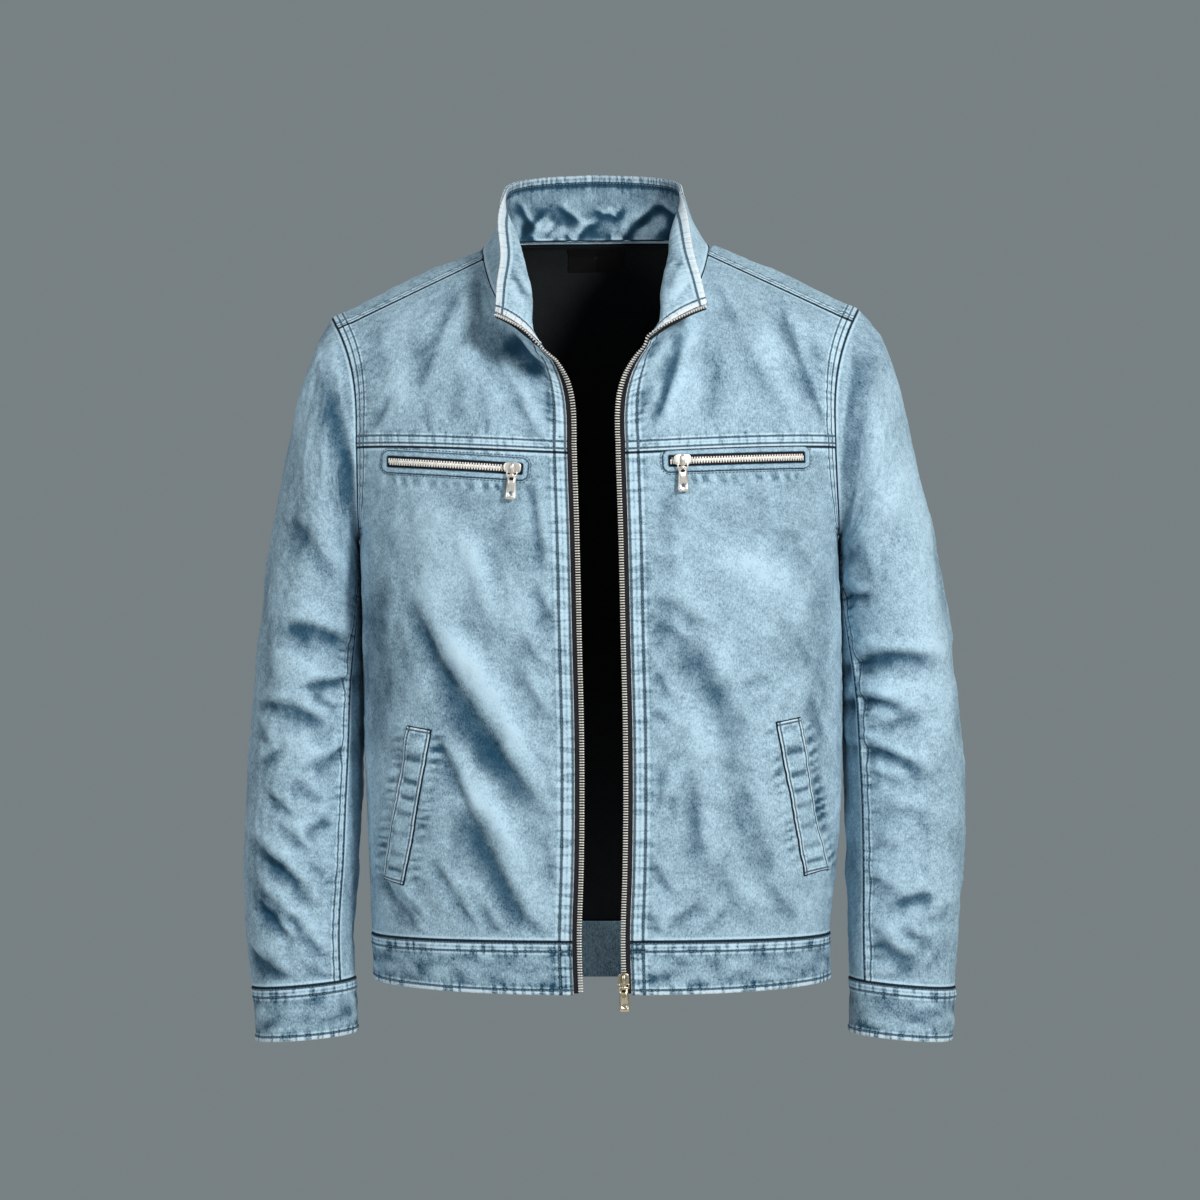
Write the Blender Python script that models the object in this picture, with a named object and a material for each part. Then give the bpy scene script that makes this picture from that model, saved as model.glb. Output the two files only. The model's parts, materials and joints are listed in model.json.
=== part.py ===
"""A zip-front denim jacket with a stand collar, filled out as if worn, with nobody in it.

Units are metres. +X is the wearer's left, -Y the front, +Z up. The origin is on the line of the
shoulders, in the middle of the neck opening, where the wearer carries the jacket.
"right" and "left" in names are the wearer's own.

The body is a stack of horizontal rings up to the chest seam. Above it each column of the cloth
bends over as a part of an ellipse to the neckline or the shoulder seam. A sleeve is a fan of
rings that starts as the armhole loop. Every panel is a patch of one of these forms, made a wall.
"""

import math

import bmesh
import bpy
import numpy as np
from mathutils import Matrix, Vector

# ---- cloth ----
SEAM_GAP = 0.0003
LAID_GAP = 0.0007
DENIM = 0.0018
COLLAR_PLY = 0.0015
BAND_PROUD = 0.0006
BAND_THICK = 0.0032
LINING_INSET = 0.0034
LINING_THICK = 0.0010

# ---- body rings, from hem to chest: half width, depth to the front and to the back ----
TORSO_COLUMNS = ("z", "centre_x", "half_width", "front", "back")
TORSO = np.array([
    (-0.6600, 0.0027, 0.2018, 0.1170, 0.1130),
    (-0.6040, 0.0010, 0.2030, 0.1190, 0.1130),
    (-0.5410, 0.0027, 0.2074, 0.1220, 0.1090),
    (-0.4880, 0.0033, 0.2102, 0.1240, 0.1050),
    (-0.4250, 0.0030, 0.2122, 0.1260, 0.1030),
    (-0.3450, 0.0011, 0.2125, 0.1290, 0.1060),
    (-0.2560, -0.0009, 0.2120, 0.1320, 0.1110),
    (-0.1765, -0.0034, 0.2120, 0.1310, 0.1150),
    (0.0800, -0.0034, 0.2120, 0.1310, 0.1150),
])
RING_POWER = 0.80

HEM_SEAM_Z = -0.6040
HEM_FRONT_Z = -0.6500
HEM_SIDE_RISE = 0.0055
HEM_BACK_DROP = 0.0050
CHEST_SEAM_Z = -0.1765
CHEST_SEAM_DIP = 0.0070
HALF_GAP = 0.0250

# ---- armhole loop: an upright oval at the side, flaring outwards at the shoulder ----
ARMHOLE_TOP_Z = -0.0550
ARMHOLE_PIT_Z = -0.2520
ARMHOLE_FRONT = 0.0720
ARMHOLE_BACK = 0.0700
ARMHOLE_X = 0.2085
ARMHOLE_POWER = 0.9
SHOULDER_FLARE = 0.0253
SHOULDER_FLARE_POWER = 2.4
PIT_FLARE = 0.0035
SEAM_MITRE = (0.6, 0.25, 0.8)
SHOULDER_SEAM_TURN = math.radians(30)

# ---- neckline and collar, station 0 at the front edge to station 7 at the back middle ----
# shift moves the mid and top lines of both sides towards +X: the collar doesn't stand quite even
# the left side of the neck and shoulder is a little higher than the right, by the two tilts
COLLAR_COLUMNS = ("base_x", "base_y", "base_z", "mid_x", "mid_y", "mid_z", "top_x", "top_y", "top_z", "shift")
COLLAR = np.array([
    (0.0475, -0.1430, -0.0900, 0.0680, -0.1400, -0.0725, 0.0900, -0.1280, -0.0604, 0.0054),
    (0.0720, -0.1120, -0.0680, 0.0590, -0.1180, -0.0480, 0.0879, -0.1120, -0.0367, 0.0030),
    (0.0905, -0.0700, -0.0360, 0.0650, -0.0850, -0.0180, 0.0838, -0.0880, -0.0099, 0.0010),
    (0.0992, -0.0320, -0.0075, 0.0730, -0.0460, 0.0120, 0.0840, -0.0520, 0.0234, -0.0028),
    (0.0990, 0.0050, 0.0055, 0.0850, -0.0010, 0.0310, 0.0810, -0.0050, 0.0512, -0.0034),
    (0.0840, 0.0450, 0.0118, 0.0800, 0.0440, 0.0390, 0.0750, 0.0420, 0.0662, -0.0028),
    (0.0480, 0.0730, 0.0150, 0.0490, 0.0750, 0.0440, 0.0480, 0.0720, 0.0740, -0.0030),
    (0.0000, 0.0820, 0.0155, 0.0000, 0.0865, 0.0465, 0.0000, 0.0850, 0.0775, -0.0018),
])
SEAM_STATION = 3
BACK_STATION = 7
NECK_TILT = 0.0034
SHOULDER_TILT = 0.0038

# ---- how the cloth bends above the chest seam ----
BEND_POWER = 1.15
FRONT_NECK_BEND = math.radians(33)
FRONT_SEAM_BEND = math.radians(68)
BACK_NECK_BEND = math.radians(78)
BACK_SEAM_BEND = math.radians(109)
BACK_BEND_POWER = 2.4
SHOULDER_CROWN = math.radians(3.5)
NECK_SHARES = {"front": 1 / 3, "back": 1 / 2}
EDGE_ROLL_SHARE = 0.42
EDGE_ROLL_FADES = (0.20, 0.12)
# columns of the front edge: z, half_gap, y
EDGE = np.array([
    (-0.1900, 0.0250, -0.1300),
    (-0.1650, 0.0248, -0.1290),
    (-0.1500, 0.0250, -0.1280),
    (-0.1330, 0.0268, -0.1285),
    (-0.1160, 0.0315, -0.1320),
    (-0.1030, 0.0380, -0.1380),
    (-0.0950, 0.0435, -0.1420),
    (-0.0860, 0.0500, -0.1440),
])

# ---- sleeve rings below the armhole loop; the shifts, at the top and at the cuff, move both outer
# ---- lines towards +X ----
# columns: outer_x, outer_z, inner_x, inner_z, half_depth, centre_y
SLEEVE = np.array([
    (0.2500, -0.0770, 0.2146, -0.2550, 0.0740, 0.0010),
    (0.2600, -0.1040, 0.2142, -0.2580, 0.0755, 0.0040),
    (0.2700, -0.1390, 0.2138, -0.2640, 0.0765, 0.0090),
    (0.2805, -0.1830, 0.2133, -0.2740, 0.0770, 0.0150),
    (0.2895, -0.2220, 0.2129, -0.2910, 0.0765, 0.0210),
    (0.2995, -0.2700, 0.2125, -0.3200, 0.0745, 0.0260),
    (0.3075, -0.3200, 0.2122, -0.3550, 0.0715, 0.0280),
    (0.3130, -0.3700, 0.2124, -0.3930, 0.0690, 0.0270),
    (0.3180, -0.4300, 0.2136, -0.4420, 0.0665, 0.0220),
    (0.3208, -0.4850, 0.2155, -0.4880, 0.0640, 0.0150),
    (0.3203, -0.5400, 0.2170, -0.5400, 0.0600, 0.0070),
    (0.3172, -0.5950, 0.2190, -0.5920, 0.0555, -0.0010),
    (0.3115, -0.6520, 0.2195, -0.6440, 0.0500, -0.0080),
    (0.3080, -0.6990, 0.2180, -0.6915, 0.0480, -0.0120),
])
SLEEVE_SHIFTS = (0.0035, 0.0008)
SHIFT_FROM = 6
SHIFT_OVER = 7
SLEEVE_POWER = 0.92
SHOULDER_TILT_ENDS = 6
CUFF_TOP = 13
CUFF_END = 14
FOREARM_FRONT_SEAM = math.radians(138)
FOREARM_BACK_SEAM = math.radians(235)
SEAM_TURNS_FROM = 3.0
SEAM_TURNS_OVER = 5.5

# ---- largest folds: a trough (depth below 0) or ridge along a line, x counted from the middle ----
# columns: side, x0, z0, x1, z1, half_width, depth
FRONT_FOLDS = np.array([
    (-1, 0.1500, -0.3000, 0.0600, -0.5300, 0.0200, -0.0045),
    (-1, 0.1200, -0.2700, 0.0450, -0.4700, 0.0200, 0.0030),
    (-1, 0.1300, -0.4400, 0.0950, -0.5600, 0.0150, -0.0030),
    (1, 0.1400, -0.2500, 0.0650, -0.4300, 0.0220, 0.0035),
    (1, 0.0600, -0.4300, 0.0850, -0.5400, 0.0160, -0.0030),
])
# columns on a sleeve: side, turn0, run0, turn1, run1, half_width, depth
SLEEVE_FOLDS = np.array([
    (-1, 2.40, 7.30, 1.20, 7.20, 0.55, -0.0050),
    (-1, 2.30, 8.20, 0.60, 8.80, 0.60, -0.0045),
    (1, 2.50, 7.60, 0.70, 6.90, 0.55, -0.0060),
    (1, 2.30, 8.30, 1.10, 8.00, 0.45, -0.0045),
])
# the folds calm down towards seams: where they start, and over how far, in metres or turn
CALM_AT_EDGE = 0.030
CALM_AT_SIDE = (0.200, 0.040)
CALM_AT_HEM = 0.040
CALM_BELOW_CHEST = (0.030, 0.040)
CALM_AT_FRONT_SEAM = (2.75, 0.40)
CALM_BEHIND = (2.00, 0.60)

# ---- front zip ----
TAPE_WIDTH = 0.0040
TAPE_THICK = 0.0010
TAPE_DEEP = 0.0004
TEETH_WIDTH = 0.0038
TEETH_PROUD = 0.0003
TEETH_THICK = 0.0024
TEETH_FOOT = 0.60
EDGE_NEAR = 0.02
EDGE_SMOOTHINGS = 3
ZIP_FOOT = 0.97
ZIP_TOP = 0.95

# ---- chest pockets: zipped slots below the chest seam, drawn from the armhole side inwards ----
CHEST_POCKETS = {
    "right": {"side": -1, "inner": (-0.0655, -0.1975), "outer": (-0.1845, -0.1895), "slider": 0.075},
    "left": {"side": 1, "inner": (0.0580, -0.1905), "outer": (0.1775, -0.1858), "slider": 0.10},
}
SLOT_HALF = 0.0055
CHEST_WELT_RIM = 0.0045
CHAIN_HALF = 0.0036
CHAIN_THICK = 0.0006
POCKET_TAPE = 0.0006
WELT_THICK = 0.0012

# ---- slanted hand pockets: a welt each, that the wearer's hand slips in behind ----
HAND_POCKETS = {
    "right": {"side": -1, "top": (-0.1560, -0.4200), "bottom": (-0.1800, -0.5560), "width": 0.0215},
    "left": {"side": 1, "top": (0.1625, -0.4130), "bottom": (0.1880, -0.5480), "width": 0.0225},
}

# ---- lining: the back's rows above the chest level that it has, and the neck label on the last of them ----
LINING_ROWS = (2, 4, 6, 7, 8)
LINING_SHORT = 0.0040
LINING_HEM_GAP = 0.0010
LABEL_ROWS = 3
LABEL_PART = 0.78
LABEL_SHORT = 0.0035
LABEL_THICK = 0.0006

# ---- sliders and pulls; lengths along the hinge pin, out of the cloth and up ----
PIN_RADIUS = 0.0007
EYE_RADIUS = 0.0017
PIN_CLEARANCE = 0.0003
EAR = 0.0012
EAR_SPAN = 0.0095
EAR_DEPTH = 0.0022
EAR_HEIGHT = 0.0050
EAR_CENTRE_Z = 0.0012
CROWN_PART = 0.5
CROWN_DEPTH = 0.0016
TAB_THICK = 0.0011
TAB_LENGTH = 0.0200
TAB_WIDTH = 0.0075
TAB_NECK = 0.0060
TAB_NECK_WIDTH = 0.0042
TAB_NECK_START = 0.0008
TAB_HOLE = 0.0012
TAB_HOLE_UP = 0.0042
BODY_BEVEL = 0.0006
SMALL_BEVEL = 0.0003
PIN_SIDES = 10
EYE_SIDES = 12
# width, depth, height
CHEST_SLIDER = (0.0120, 0.0034, 0.0080)
FRONT_SLIDER = (0.0095, 0.0030, 0.0105)
FRONT_SLIDER_DROP = 0.001
SLIDER_FRONT = 0.0012
SLIDER_SEAT = 0.0005

# ---- mesh fineness ----
COLUMNS = 12
NECK_COLUMNS = {"front": 4, "back": 6}
BELOW_PIT_ROWS = 7
LOWER_ARM_ROWS = 3
YOKE_ROWS = 6
BACK_UPPER_ROWS = 8
SLEEVE_ROWS = 12
SLEEVE_HEAD_ROWS = (0, 0.7, 1.6)
CUFF_COLUMNS = 18
COLLAR_ROWS = 5
SMALL_STEP = 1e-4

COLOURS = {
    "denim": ((0.330, 0.480, 0.600), 0.90, 0.0),
    "lining": ((0.012, 0.013, 0.015), 0.80, 0.0),
    "tape": ((0.010, 0.010, 0.012), 0.85, 0.0),
    "teeth": ((0.720, 0.690, 0.640), 0.35, 1.0),
    "nickel": ((0.800, 0.760, 0.680), 0.25, 1.0),
    "brass": ((0.700, 0.560, 0.300), 0.25, 1.0),
}
SIDES = {"right": -1, "left": 1}


# =====================================================================================
# small tools
# =====================================================================================
def through(stations, values, at):
    """Smooth cubic through a table's rows at the stations, each slope taken from the neighbours."""
    stations, values, at = np.asarray(stations, float), np.asarray(values, float), np.asarray(at, float)
    slopes = np.gradient(values, stations, axis=0)
    i = np.clip(np.searchsorted(stations, at, side="right") - 1, 0, len(stations) - 2)
    h = stations[i + 1] - stations[i]
    t = (at - stations[i]) / h
    if values.ndim > 1:
        t, h = t[..., None], h[..., None]
    a, b = values[i], values[i + 1]
    da, db = slopes[i] * h, slopes[i + 1] * h
    return a + t * da + t * t * (3 * (b - a) - 2 * da - db) + t**3 * (da + db - 2 * (b - a))


def unit(v):
    return v / np.maximum(np.linalg.norm(v, axis=-1, keepdims=True), 1e-12)


def signed_power(value, power):
    return np.sign(value) * np.abs(value) ** power


def ease(value):
    """0 below 0, 1 above 1, smooth between."""
    t = np.clip(value, 0, 1)
    return t * t * (3 - 2 * t)


def fold(px, py, x0, y0, x1, y1, half_width, depth):
    """Height of one soft trough (depth below 0) or ridge along a line, fading at its ends."""
    dx, dy = x1 - x0, y1 - y0
    along = ((px - x0) * dx + (py - y0) * dy) / (dx * dx + dy * dy)
    near = np.clip(along, 0, 1)
    across = np.hypot(px - x0 - near * dx, py - y0 - near * dy)
    return depth * np.exp(-((across / half_width) ** 2)) * np.sqrt(np.clip(1.2 * np.sin(np.pi * near), 0.25, 1))


# =====================================================================================
# forms
# =====================================================================================
def torso_size(z, column):
    return through(TORSO[:, 0], TORSO[:, TORSO_COLUMNS.index(column)], z)


def lean(points):
    """The whole jacket stands a few millimetres off its own middle, by height."""
    points = np.array(points, float)
    points[..., 0] += torso_size(points[..., 2], "centre_x")
    return points


def armhole(side, turn):
    """Point of the armhole loop. turn is 0 at the shoulder tip, positive to the front, pi at the pit."""
    up, out = np.cos(turn), np.sin(turn)
    z = (ARMHOLE_TOP_Z + ARMHOLE_PIT_Z) / 2 + (ARMHOLE_TOP_Z - ARMHOLE_PIT_Z) / 2 * up
    x = ARMHOLE_X + SHOULDER_FLARE * np.maximum(up, 0) ** SHOULDER_FLARE_POWER + PIT_FLARE * np.maximum(-up, 0) ** 2
    reach = np.where(out > 0, ARMHOLE_FRONT, ARMHOLE_BACK)
    y = -reach * signed_power(out, ARMHOLE_POWER)
    return np.stack([side * x, y, z + side * SHOULDER_TILT * np.maximum(up, 0)], -1)


def armhole_turn(z):
    middle, half = (ARMHOLE_TOP_Z + ARMHOLE_PIT_Z) / 2, (ARMHOLE_TOP_Z - ARMHOLE_PIT_Z) / 2
    return np.arccos(np.clip((z - middle) / half, -1, 1))


def armhole_normal(side, turn):
    """One direction for the walls on both sides of the armhole seam, so that they don't cross."""
    sideways, less_at_pit, round_loop = SEAM_MITRE
    flat = sideways - less_at_pit * np.maximum(-np.cos(turn), 0)
    return unit(np.stack([side * flat, -round_loop * np.sin(turn), round_loop * np.cos(turn)], -1))


CHEST_TURN = float(armhole_turn(CHEST_SEAM_Z))


def side_angle(z, face):
    """Angle round a ring at which its panel ends: the side line below the pit, then the armhole."""
    reach = -armhole(1, np.where(face == "front", 1, -1) * armhole_turn(z))[..., 1]
    depth = torso_size(z, face)
    at_armhole = np.arccos(np.clip((np.abs(reach) / depth) ** (1 / RING_POWER), 0, 1))
    return np.where(z > ARMHOLE_PIT_Z, at_armhole, math.pi / 2)


def ring_half_width(z, face):
    """Half width of a ring, so that above the pit it passes through the armhole loop."""
    at_armhole = np.abs(armhole(1, armhole_turn(z))[..., 0]) / np.sin(side_angle(z, face)) ** RING_POWER
    return np.where(z > ARMHOLE_PIT_Z, at_armhole, torso_size(z, "half_width"))


def ring(side, face, angle, z):
    """Ring point at an angle from the front or back middle (0) to the side (a quarter turn)."""
    x = ring_half_width(z, face) * signed_power(np.sin(angle), RING_POWER)
    y = torso_size(z, face) * signed_power(np.cos(angle), RING_POWER)
    return np.stack([side * x, np.where(face == "front", -y, y), z + 0 * x], -1)


def edge_angle(z):
    """Angle at which a ring is cut for the front opening."""
    return np.arcsin((HALF_GAP / ring_half_width(z, "front")) ** (1 / RING_POWER))


def front_relief(side, x, z):
    """Height of the largest folds at a place of a front, 0 near its seams."""
    total = 0 * x
    for row in FRONT_FOLDS:
        if row[0] == side:
            total = total + fold(np.abs(x), z, *row[1:])
    calm = ease((np.abs(x) - HALF_GAP) / CALM_AT_EDGE) * ease((CALM_AT_SIDE[0] - np.abs(x)) / CALM_AT_SIDE[1])
    below = ease((CHEST_SEAM_Z - CALM_BELOW_CHEST[0] - z) / CALM_BELOW_CHEST[1])
    return total * calm * below * ease((z - HEM_SEAM_Z) / CALM_AT_HEM)


def seam_dip(share, z):
    """How far the front's levels sink towards the opening, none at the hem, most at the chest seam."""
    return CHEST_SEAM_DIP * (1 - share) ** 2 * np.clip((z - HEM_SEAM_Z) / (CHEST_SEAM_Z - HEM_SEAM_Z), 0, 1.2)


def lower_front(side, share, z):
    """Front below the chest seam. share is 0 at the opening and 1 at the side or armhole."""
    z = z - seam_dip(share, z)
    start = edge_angle(z)
    return ring(side, "front", start + (side_angle(z, "front") - start) * share, z)


def lower_back(side, share, z):
    """Back below the chest seam. share is 0 at the back middle."""
    return ring(side, "back", side_angle(z, "back") * share, z)


def collar_row(side, station, part):
    """Point of the collar's base, mid or top line, for stations 0 to 7."""
    first = COLLAR_COLUMNS.index(part + "_x")
    point = through(np.arange(len(COLLAR)), COLLAR[:, first:first + 3], station)
    shift = through(np.arange(len(COLLAR)), COLLAR[:, COLLAR_COLUMNS.index("shift")], station)
    height = side * NECK_TILT * np.clip(1 - station / BACK_STATION, 0, 1)
    moved = shift * {"base": 0.0, "mid": 0.5, "top": 1.0}[part]
    return np.stack([side * point[..., 0] + moved, point[..., 1], point[..., 2] + height], -1)


def shoulder_seam(side, share):
    """The seam that lies just in front of the shoulder line, from the collar to the armhole."""
    start = collar_row(side, np.full_like(share, SEAM_STATION), "base")
    return start + (armhole(side, np.full_like(share, SHOULDER_SEAM_TURN)) - start) * share[..., None]


def bent(low, top, bend, rise):
    """Columns that leave low upright and reach top, along a part of an ellipse that turns by bend."""
    angle = bend * rise
    up = signed_power(np.sin(angle), BEND_POWER) / signed_power(np.sin(bend), BEND_POWER)
    over = (1 - signed_power(np.cos(angle), BEND_POWER)) / (1 - signed_power(np.cos(bend), BEND_POWER))
    return low + (top - low) * np.stack([over, over, up], -1)


def armhole_turns(face, rise):
    """Place on the armhole loop of the last column of the front yoke or the upper back."""
    start = CHEST_TURN if face == "front" else -CHEST_TURN
    return start + (SHOULDER_SEAM_TURN - start) * rise


def upper(side, face, share, rise):
    """Cloth above the chest seam. rise is 0 at that seam and 1 at the neckline or shoulder seam."""
    share, rise = np.broadcast_arrays(np.asarray(share, float), np.asarray(rise, float))
    neck_share = NECK_SHARES[face]
    neck = np.clip(share / neck_share, 0, 1)
    across = np.clip((share - neck_share) / (1 - neck_share), 0, 1)
    chest, ones = np.full_like(share, CHEST_SEAM_Z), np.ones_like(share)
    if face == "front":
        lower, station = lower_front, SEAM_STATION * neck
        seam_bend = FRONT_SEAM_BEND
        bend = FRONT_NECK_BEND + (FRONT_SEAM_BEND - FRONT_NECK_BEND) * neck
    else:
        lower, station = lower_back, BACK_STATION - (BACK_STATION - SEAM_STATION) * neck
        seam_bend = BACK_SEAM_BEND
        bend = BACK_NECK_BEND + (BACK_SEAM_BEND - BACK_NECK_BEND) * ease(neck) ** BACK_BEND_POWER
        bend = bend + SHOULDER_CROWN * np.sin(math.pi * across) ** 2
    on_neck = collar_row(side, station, "base")
    top = np.where((share <= neck_share)[..., None], on_neck, shoulder_seam(side, across))
    point = bent(lower(side, share, chest), top, bend, rise)
    if face == "front":
        point = point + edge_roll(side, rise) * (np.clip(1 - share / EDGE_ROLL_SHARE, 0, 1) ** 2)[..., None]
    last = bent(lower(side, ones, chest), shoulder_seam(side, ones), np.full_like(rise, seam_bend), rise)
    pull = armhole(side, armhole_turns(face, rise)) - last
    return point + pull * (across**2)[..., None]


def edge_roll(side, rise):
    """How far the front edge of the yoke stands off its plain column, to follow the edge table."""
    none = np.zeros_like(rise)
    low = lower_front(side, none, none + CHEST_SEAM_Z)
    edge = bent(low, collar_row(side, none, "base"), none + FRONT_NECK_BEND, rise)
    wanted = through(EDGE[:, 0], EDGE[:, 1:], edge[..., 2])
    fade = np.clip(rise / EDGE_ROLL_FADES[0], 0, 1) * np.clip((1 - rise) / EDGE_ROLL_FADES[1], 0, 1)
    shift = np.stack([side * wanted[..., 0] - edge[..., 0], wanted[..., 1] - edge[..., 1], none], -1)
    return shift * fade[..., None]


def sleeve(side, run, turn):
    """Sleeve point. run is 0 on the armhole loop and then counts the table's rings."""
    run, turn = np.broadcast_arrays(np.asarray(run, float), np.asarray(turn, float))
    rings = through(np.arange(1, CUFF_END + 1), SLEEVE, np.maximum(run, 1))
    outer_x, outer_z, inner_x, inner_z, half_depth, centre_y = np.moveaxis(rings, -1, 0)
    shift_top, shift_end = SLEEVE_SHIFTS
    outer_x = outer_x + side * (shift_top + (shift_end - shift_top) * ease((run - SHIFT_FROM) / SHIFT_OVER))
    up, out = signed_power(np.cos(turn), SLEEVE_POWER), signed_power(np.sin(turn), SLEEVE_POWER)
    x = (outer_x + inner_x) / 2 + (outer_x - inner_x) / 2 * up
    z = (outer_z + inner_z) / 2 + (outer_z - inner_z) / 2 * up
    tilt = side * SHOULDER_TILT * np.clip(1 - run / SHOULDER_TILT_ENDS, 0, 1)
    tube = np.stack([side * x, centre_y - half_depth * out, z + tilt], -1)
    start = armhole(side, turn)
    return start + (tube - start) * np.clip(run, 0, 1)[..., None]


def sleeve_relief(side, run, turn):
    """Height of the creases inside the elbow, 0 near the sleeve's seams."""
    total = 0 * (run + turn)
    for row in SLEEVE_FOLDS:
        if row[0] == side:
            total = total + fold(turn, run, *row[1:])
    ahead = ease((CALM_AT_FRONT_SEAM[0] - turn) / CALM_AT_FRONT_SEAM[1])
    return total * ahead * ease((turn + CALM_BEHIND[0]) / CALM_BEHIND[1])


def collar(side, station, height):
    """Stand collar: a parabola across, from the neckline through the mid line to the top edge."""
    base, mid, top = (collar_row(side, station, part) for part in ("base", "mid", "top"))
    pull = 2 * mid - (base + top) / 2
    h = height[..., None]
    return base * (1 - h) ** 2 + 2 * pull * h * (1 - h) + top * h**2


def hem_level(share, face):
    """Bottom edge: a little higher at the sides, a little lower at the back."""
    turn = share * math.pi / 2
    level = HEM_FRONT_Z + HEM_SIDE_RISE * np.sin(turn) ** 2
    return level - (HEM_BACK_DROP * np.cos(turn) ** 2 if face == "back" else 0)


# =====================================================================================
# walls
# =====================================================================================
def raw_normals(surface, rows, columns):
    """Unit normals of surface(row, column), row direction cross column direction, by small steps."""
    by_row = surface(rows + SMALL_STEP, columns) - surface(rows - SMALL_STEP, columns)
    by_column = surface(rows, columns + SMALL_STEP) - surface(rows, columns - SMALL_STEP)
    return unit(np.cross(by_row, by_column))


def normals_of(surface, rows, columns, outward):
    """The same, turned to agree with outward."""
    normal = raw_normals(surface, rows, columns)
    return normal * np.sign(np.sum(normal * outward, axis=-1).mean())


def inset(points, gap, edges="first_row last_row first_column last_column"):
    """Draws the named edges of a grid back by gap, squarely to each edge."""
    points = points.copy()
    for line, name in ((points, "first_row"), (points[::-1], "last_row"),
                       (points.swapaxes(0, 1), "first_column"), (points.swapaxes(0, 1)[::-1], "last_column")):
        if name in edges:
            along, way = unit(np.gradient(line[0], axis=0)), line[1] - line[0]
            line[0] += unit(way - along * np.sum(way * along, -1, keepdims=True)) * gap
    return points


def halves(quads):
    """Each four-sided face cut along the same diagonal, so that neighbouring plies stay parallel."""
    return np.concatenate([quads[:, [0, 1, 2]], quads[:, [0, 2, 3]]])


def wall(name, points, normals, outer, thickness, finish, closed=False):
    """A sheet of cloth as a closed wall: two faces of a grid and the rim between them.

    points is rows by columns by 3. The outer face lies outer above it along the normals.
    closed joins the last column to the first.
    """
    rows, columns = points.shape[:2]
    half = rows * columns
    vertices = np.concatenate([(points + normals * at).reshape(-1, 3) for at in (outer, outer - thickness)])
    wrap = columns if closed else columns - 1
    row, column = np.arange(rows - 1)[:, None] * columns, np.arange(wrap)[None, :]
    a, b = (row + column).ravel(), (row + (column + 1) % columns).ravel()
    top = halves(np.stack([a, b, b + columns, a + columns], 1))
    first, after = np.arange(wrap), (np.arange(wrap) + 1) % columns
    last = (rows - 1) * columns
    faces = [top, top[:, ::-1] + half]
    faces.append(halves(np.stack([first, after, after + half, first + half], 1)))
    faces.append(halves(np.stack([last + first, last + after, last + after + half, last + first + half], 1)))
    if not closed:
        up = np.arange(rows - 1) * columns
        end = up + columns - 1
        faces.append(halves(np.stack([up, up + columns, up + columns + half, up + half], 1)))
        faces.append(halves(np.stack([end, end + columns, end + columns + half, end + half], 1)))
    mesh = bpy.data.meshes.new(name)
    mesh.from_pydata(vertices.tolist(), [], np.concatenate(faces).tolist())
    working = bmesh.new()
    working.from_mesh(mesh)
    bmesh.ops.recalc_face_normals(working, faces=working.faces)
    if working.calc_volume(signed=True) < 0:
        bmesh.ops.reverse_faces(working, faces=working.faces)
    working.to_mesh(mesh)
    working.free()
    return place(name, mesh, finish)


def material(name):
    colour, roughness, metallic = COLOURS[name]
    made = bpy.data.materials.get(name) or bpy.data.materials.new(name)
    made.use_nodes = True
    shader = made.node_tree.nodes["Principled BSDF"]
    shader.inputs["Base Color"].default_value = (*colour, 1)
    shader.inputs["Roughness"].default_value = roughness
    shader.inputs["Metallic"].default_value = metallic
    return made


def place(name, mesh, finish):
    made = bpy.data.objects.new(name, mesh)
    made.data.materials.append(material(finish))
    bpy.data.collections["denim_jacket"].objects.link(made)
    return made


# =====================================================================================
# panels of the body
# =====================================================================================
def lower_levels():
    """Ring heights from the hem seam to the chest seam, by equal turns of the armhole above the pit."""
    below = np.linspace(HEM_SEAM_Z, ARMHOLE_PIT_Z, BELOW_PIT_ROWS + 1)
    return np.concatenate([below, armhole(1, np.linspace(math.pi, CHEST_TURN, LOWER_ARM_ROWS + 1))[1:, 2]])


def front_grid(side):
    """(points, normals) of a front panel, folds included."""
    z, share = np.meshgrid(lower_levels(), np.linspace(0, 1, COLUMNS + 1), indexing="ij")
    surface = lambda level, part: lean(lower_front(side, part, level))
    points = surface(z, share)
    normals = normals_of(surface, z, np.clip(share, SMALL_STEP, 1 - SMALL_STEP), np.array([side * 0.3, -1, 0]))
    normals[BELOW_PIT_ROWS:, -1] = armhole_normal(side, armhole_turn(z[BELOW_PIT_ROWS:, -1]))
    relief = front_relief(side, points[..., 0], points[..., 2])
    return points + normals * relief[..., None], normals


def front_panel(label, side):
    points, normals = front_grid(side)
    wall(f"front_{label}", inset(points, SEAM_GAP / 2), normals, 0, DENIM, "denim")


def front_yoke(label, side):
    rise, share = np.meshgrid(np.linspace(0, 1, YOKE_ROWS + 1), np.linspace(0, 1, COLUMNS + 1), indexing="ij")
    surface = lambda r, s: lean(upper(side, "front", s, r))
    inner_rise, inner_share = (np.clip(grid, SMALL_STEP, 1 - SMALL_STEP) for grid in (rise, share))
    normals = normals_of(surface, inner_rise, inner_share, np.array([side * 0.3, -1, 0.3]))
    normals[:, -1] = armhole_normal(side, armhole_turns("front", rise[:, -1]))
    stations = np.linspace(0, SEAM_STATION, NECK_COLUMNS["front"] + 1)
    normals[-1, :len(stations)] = neckline_normals(side, stations)
    points = inset(inset(surface(rise, share), SEAM_GAP / 2), SEAM_GAP / 2, "first_row")
    wall(f"front_yoke_{label}", points, normals, 0, DENIM, "denim")


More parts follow.
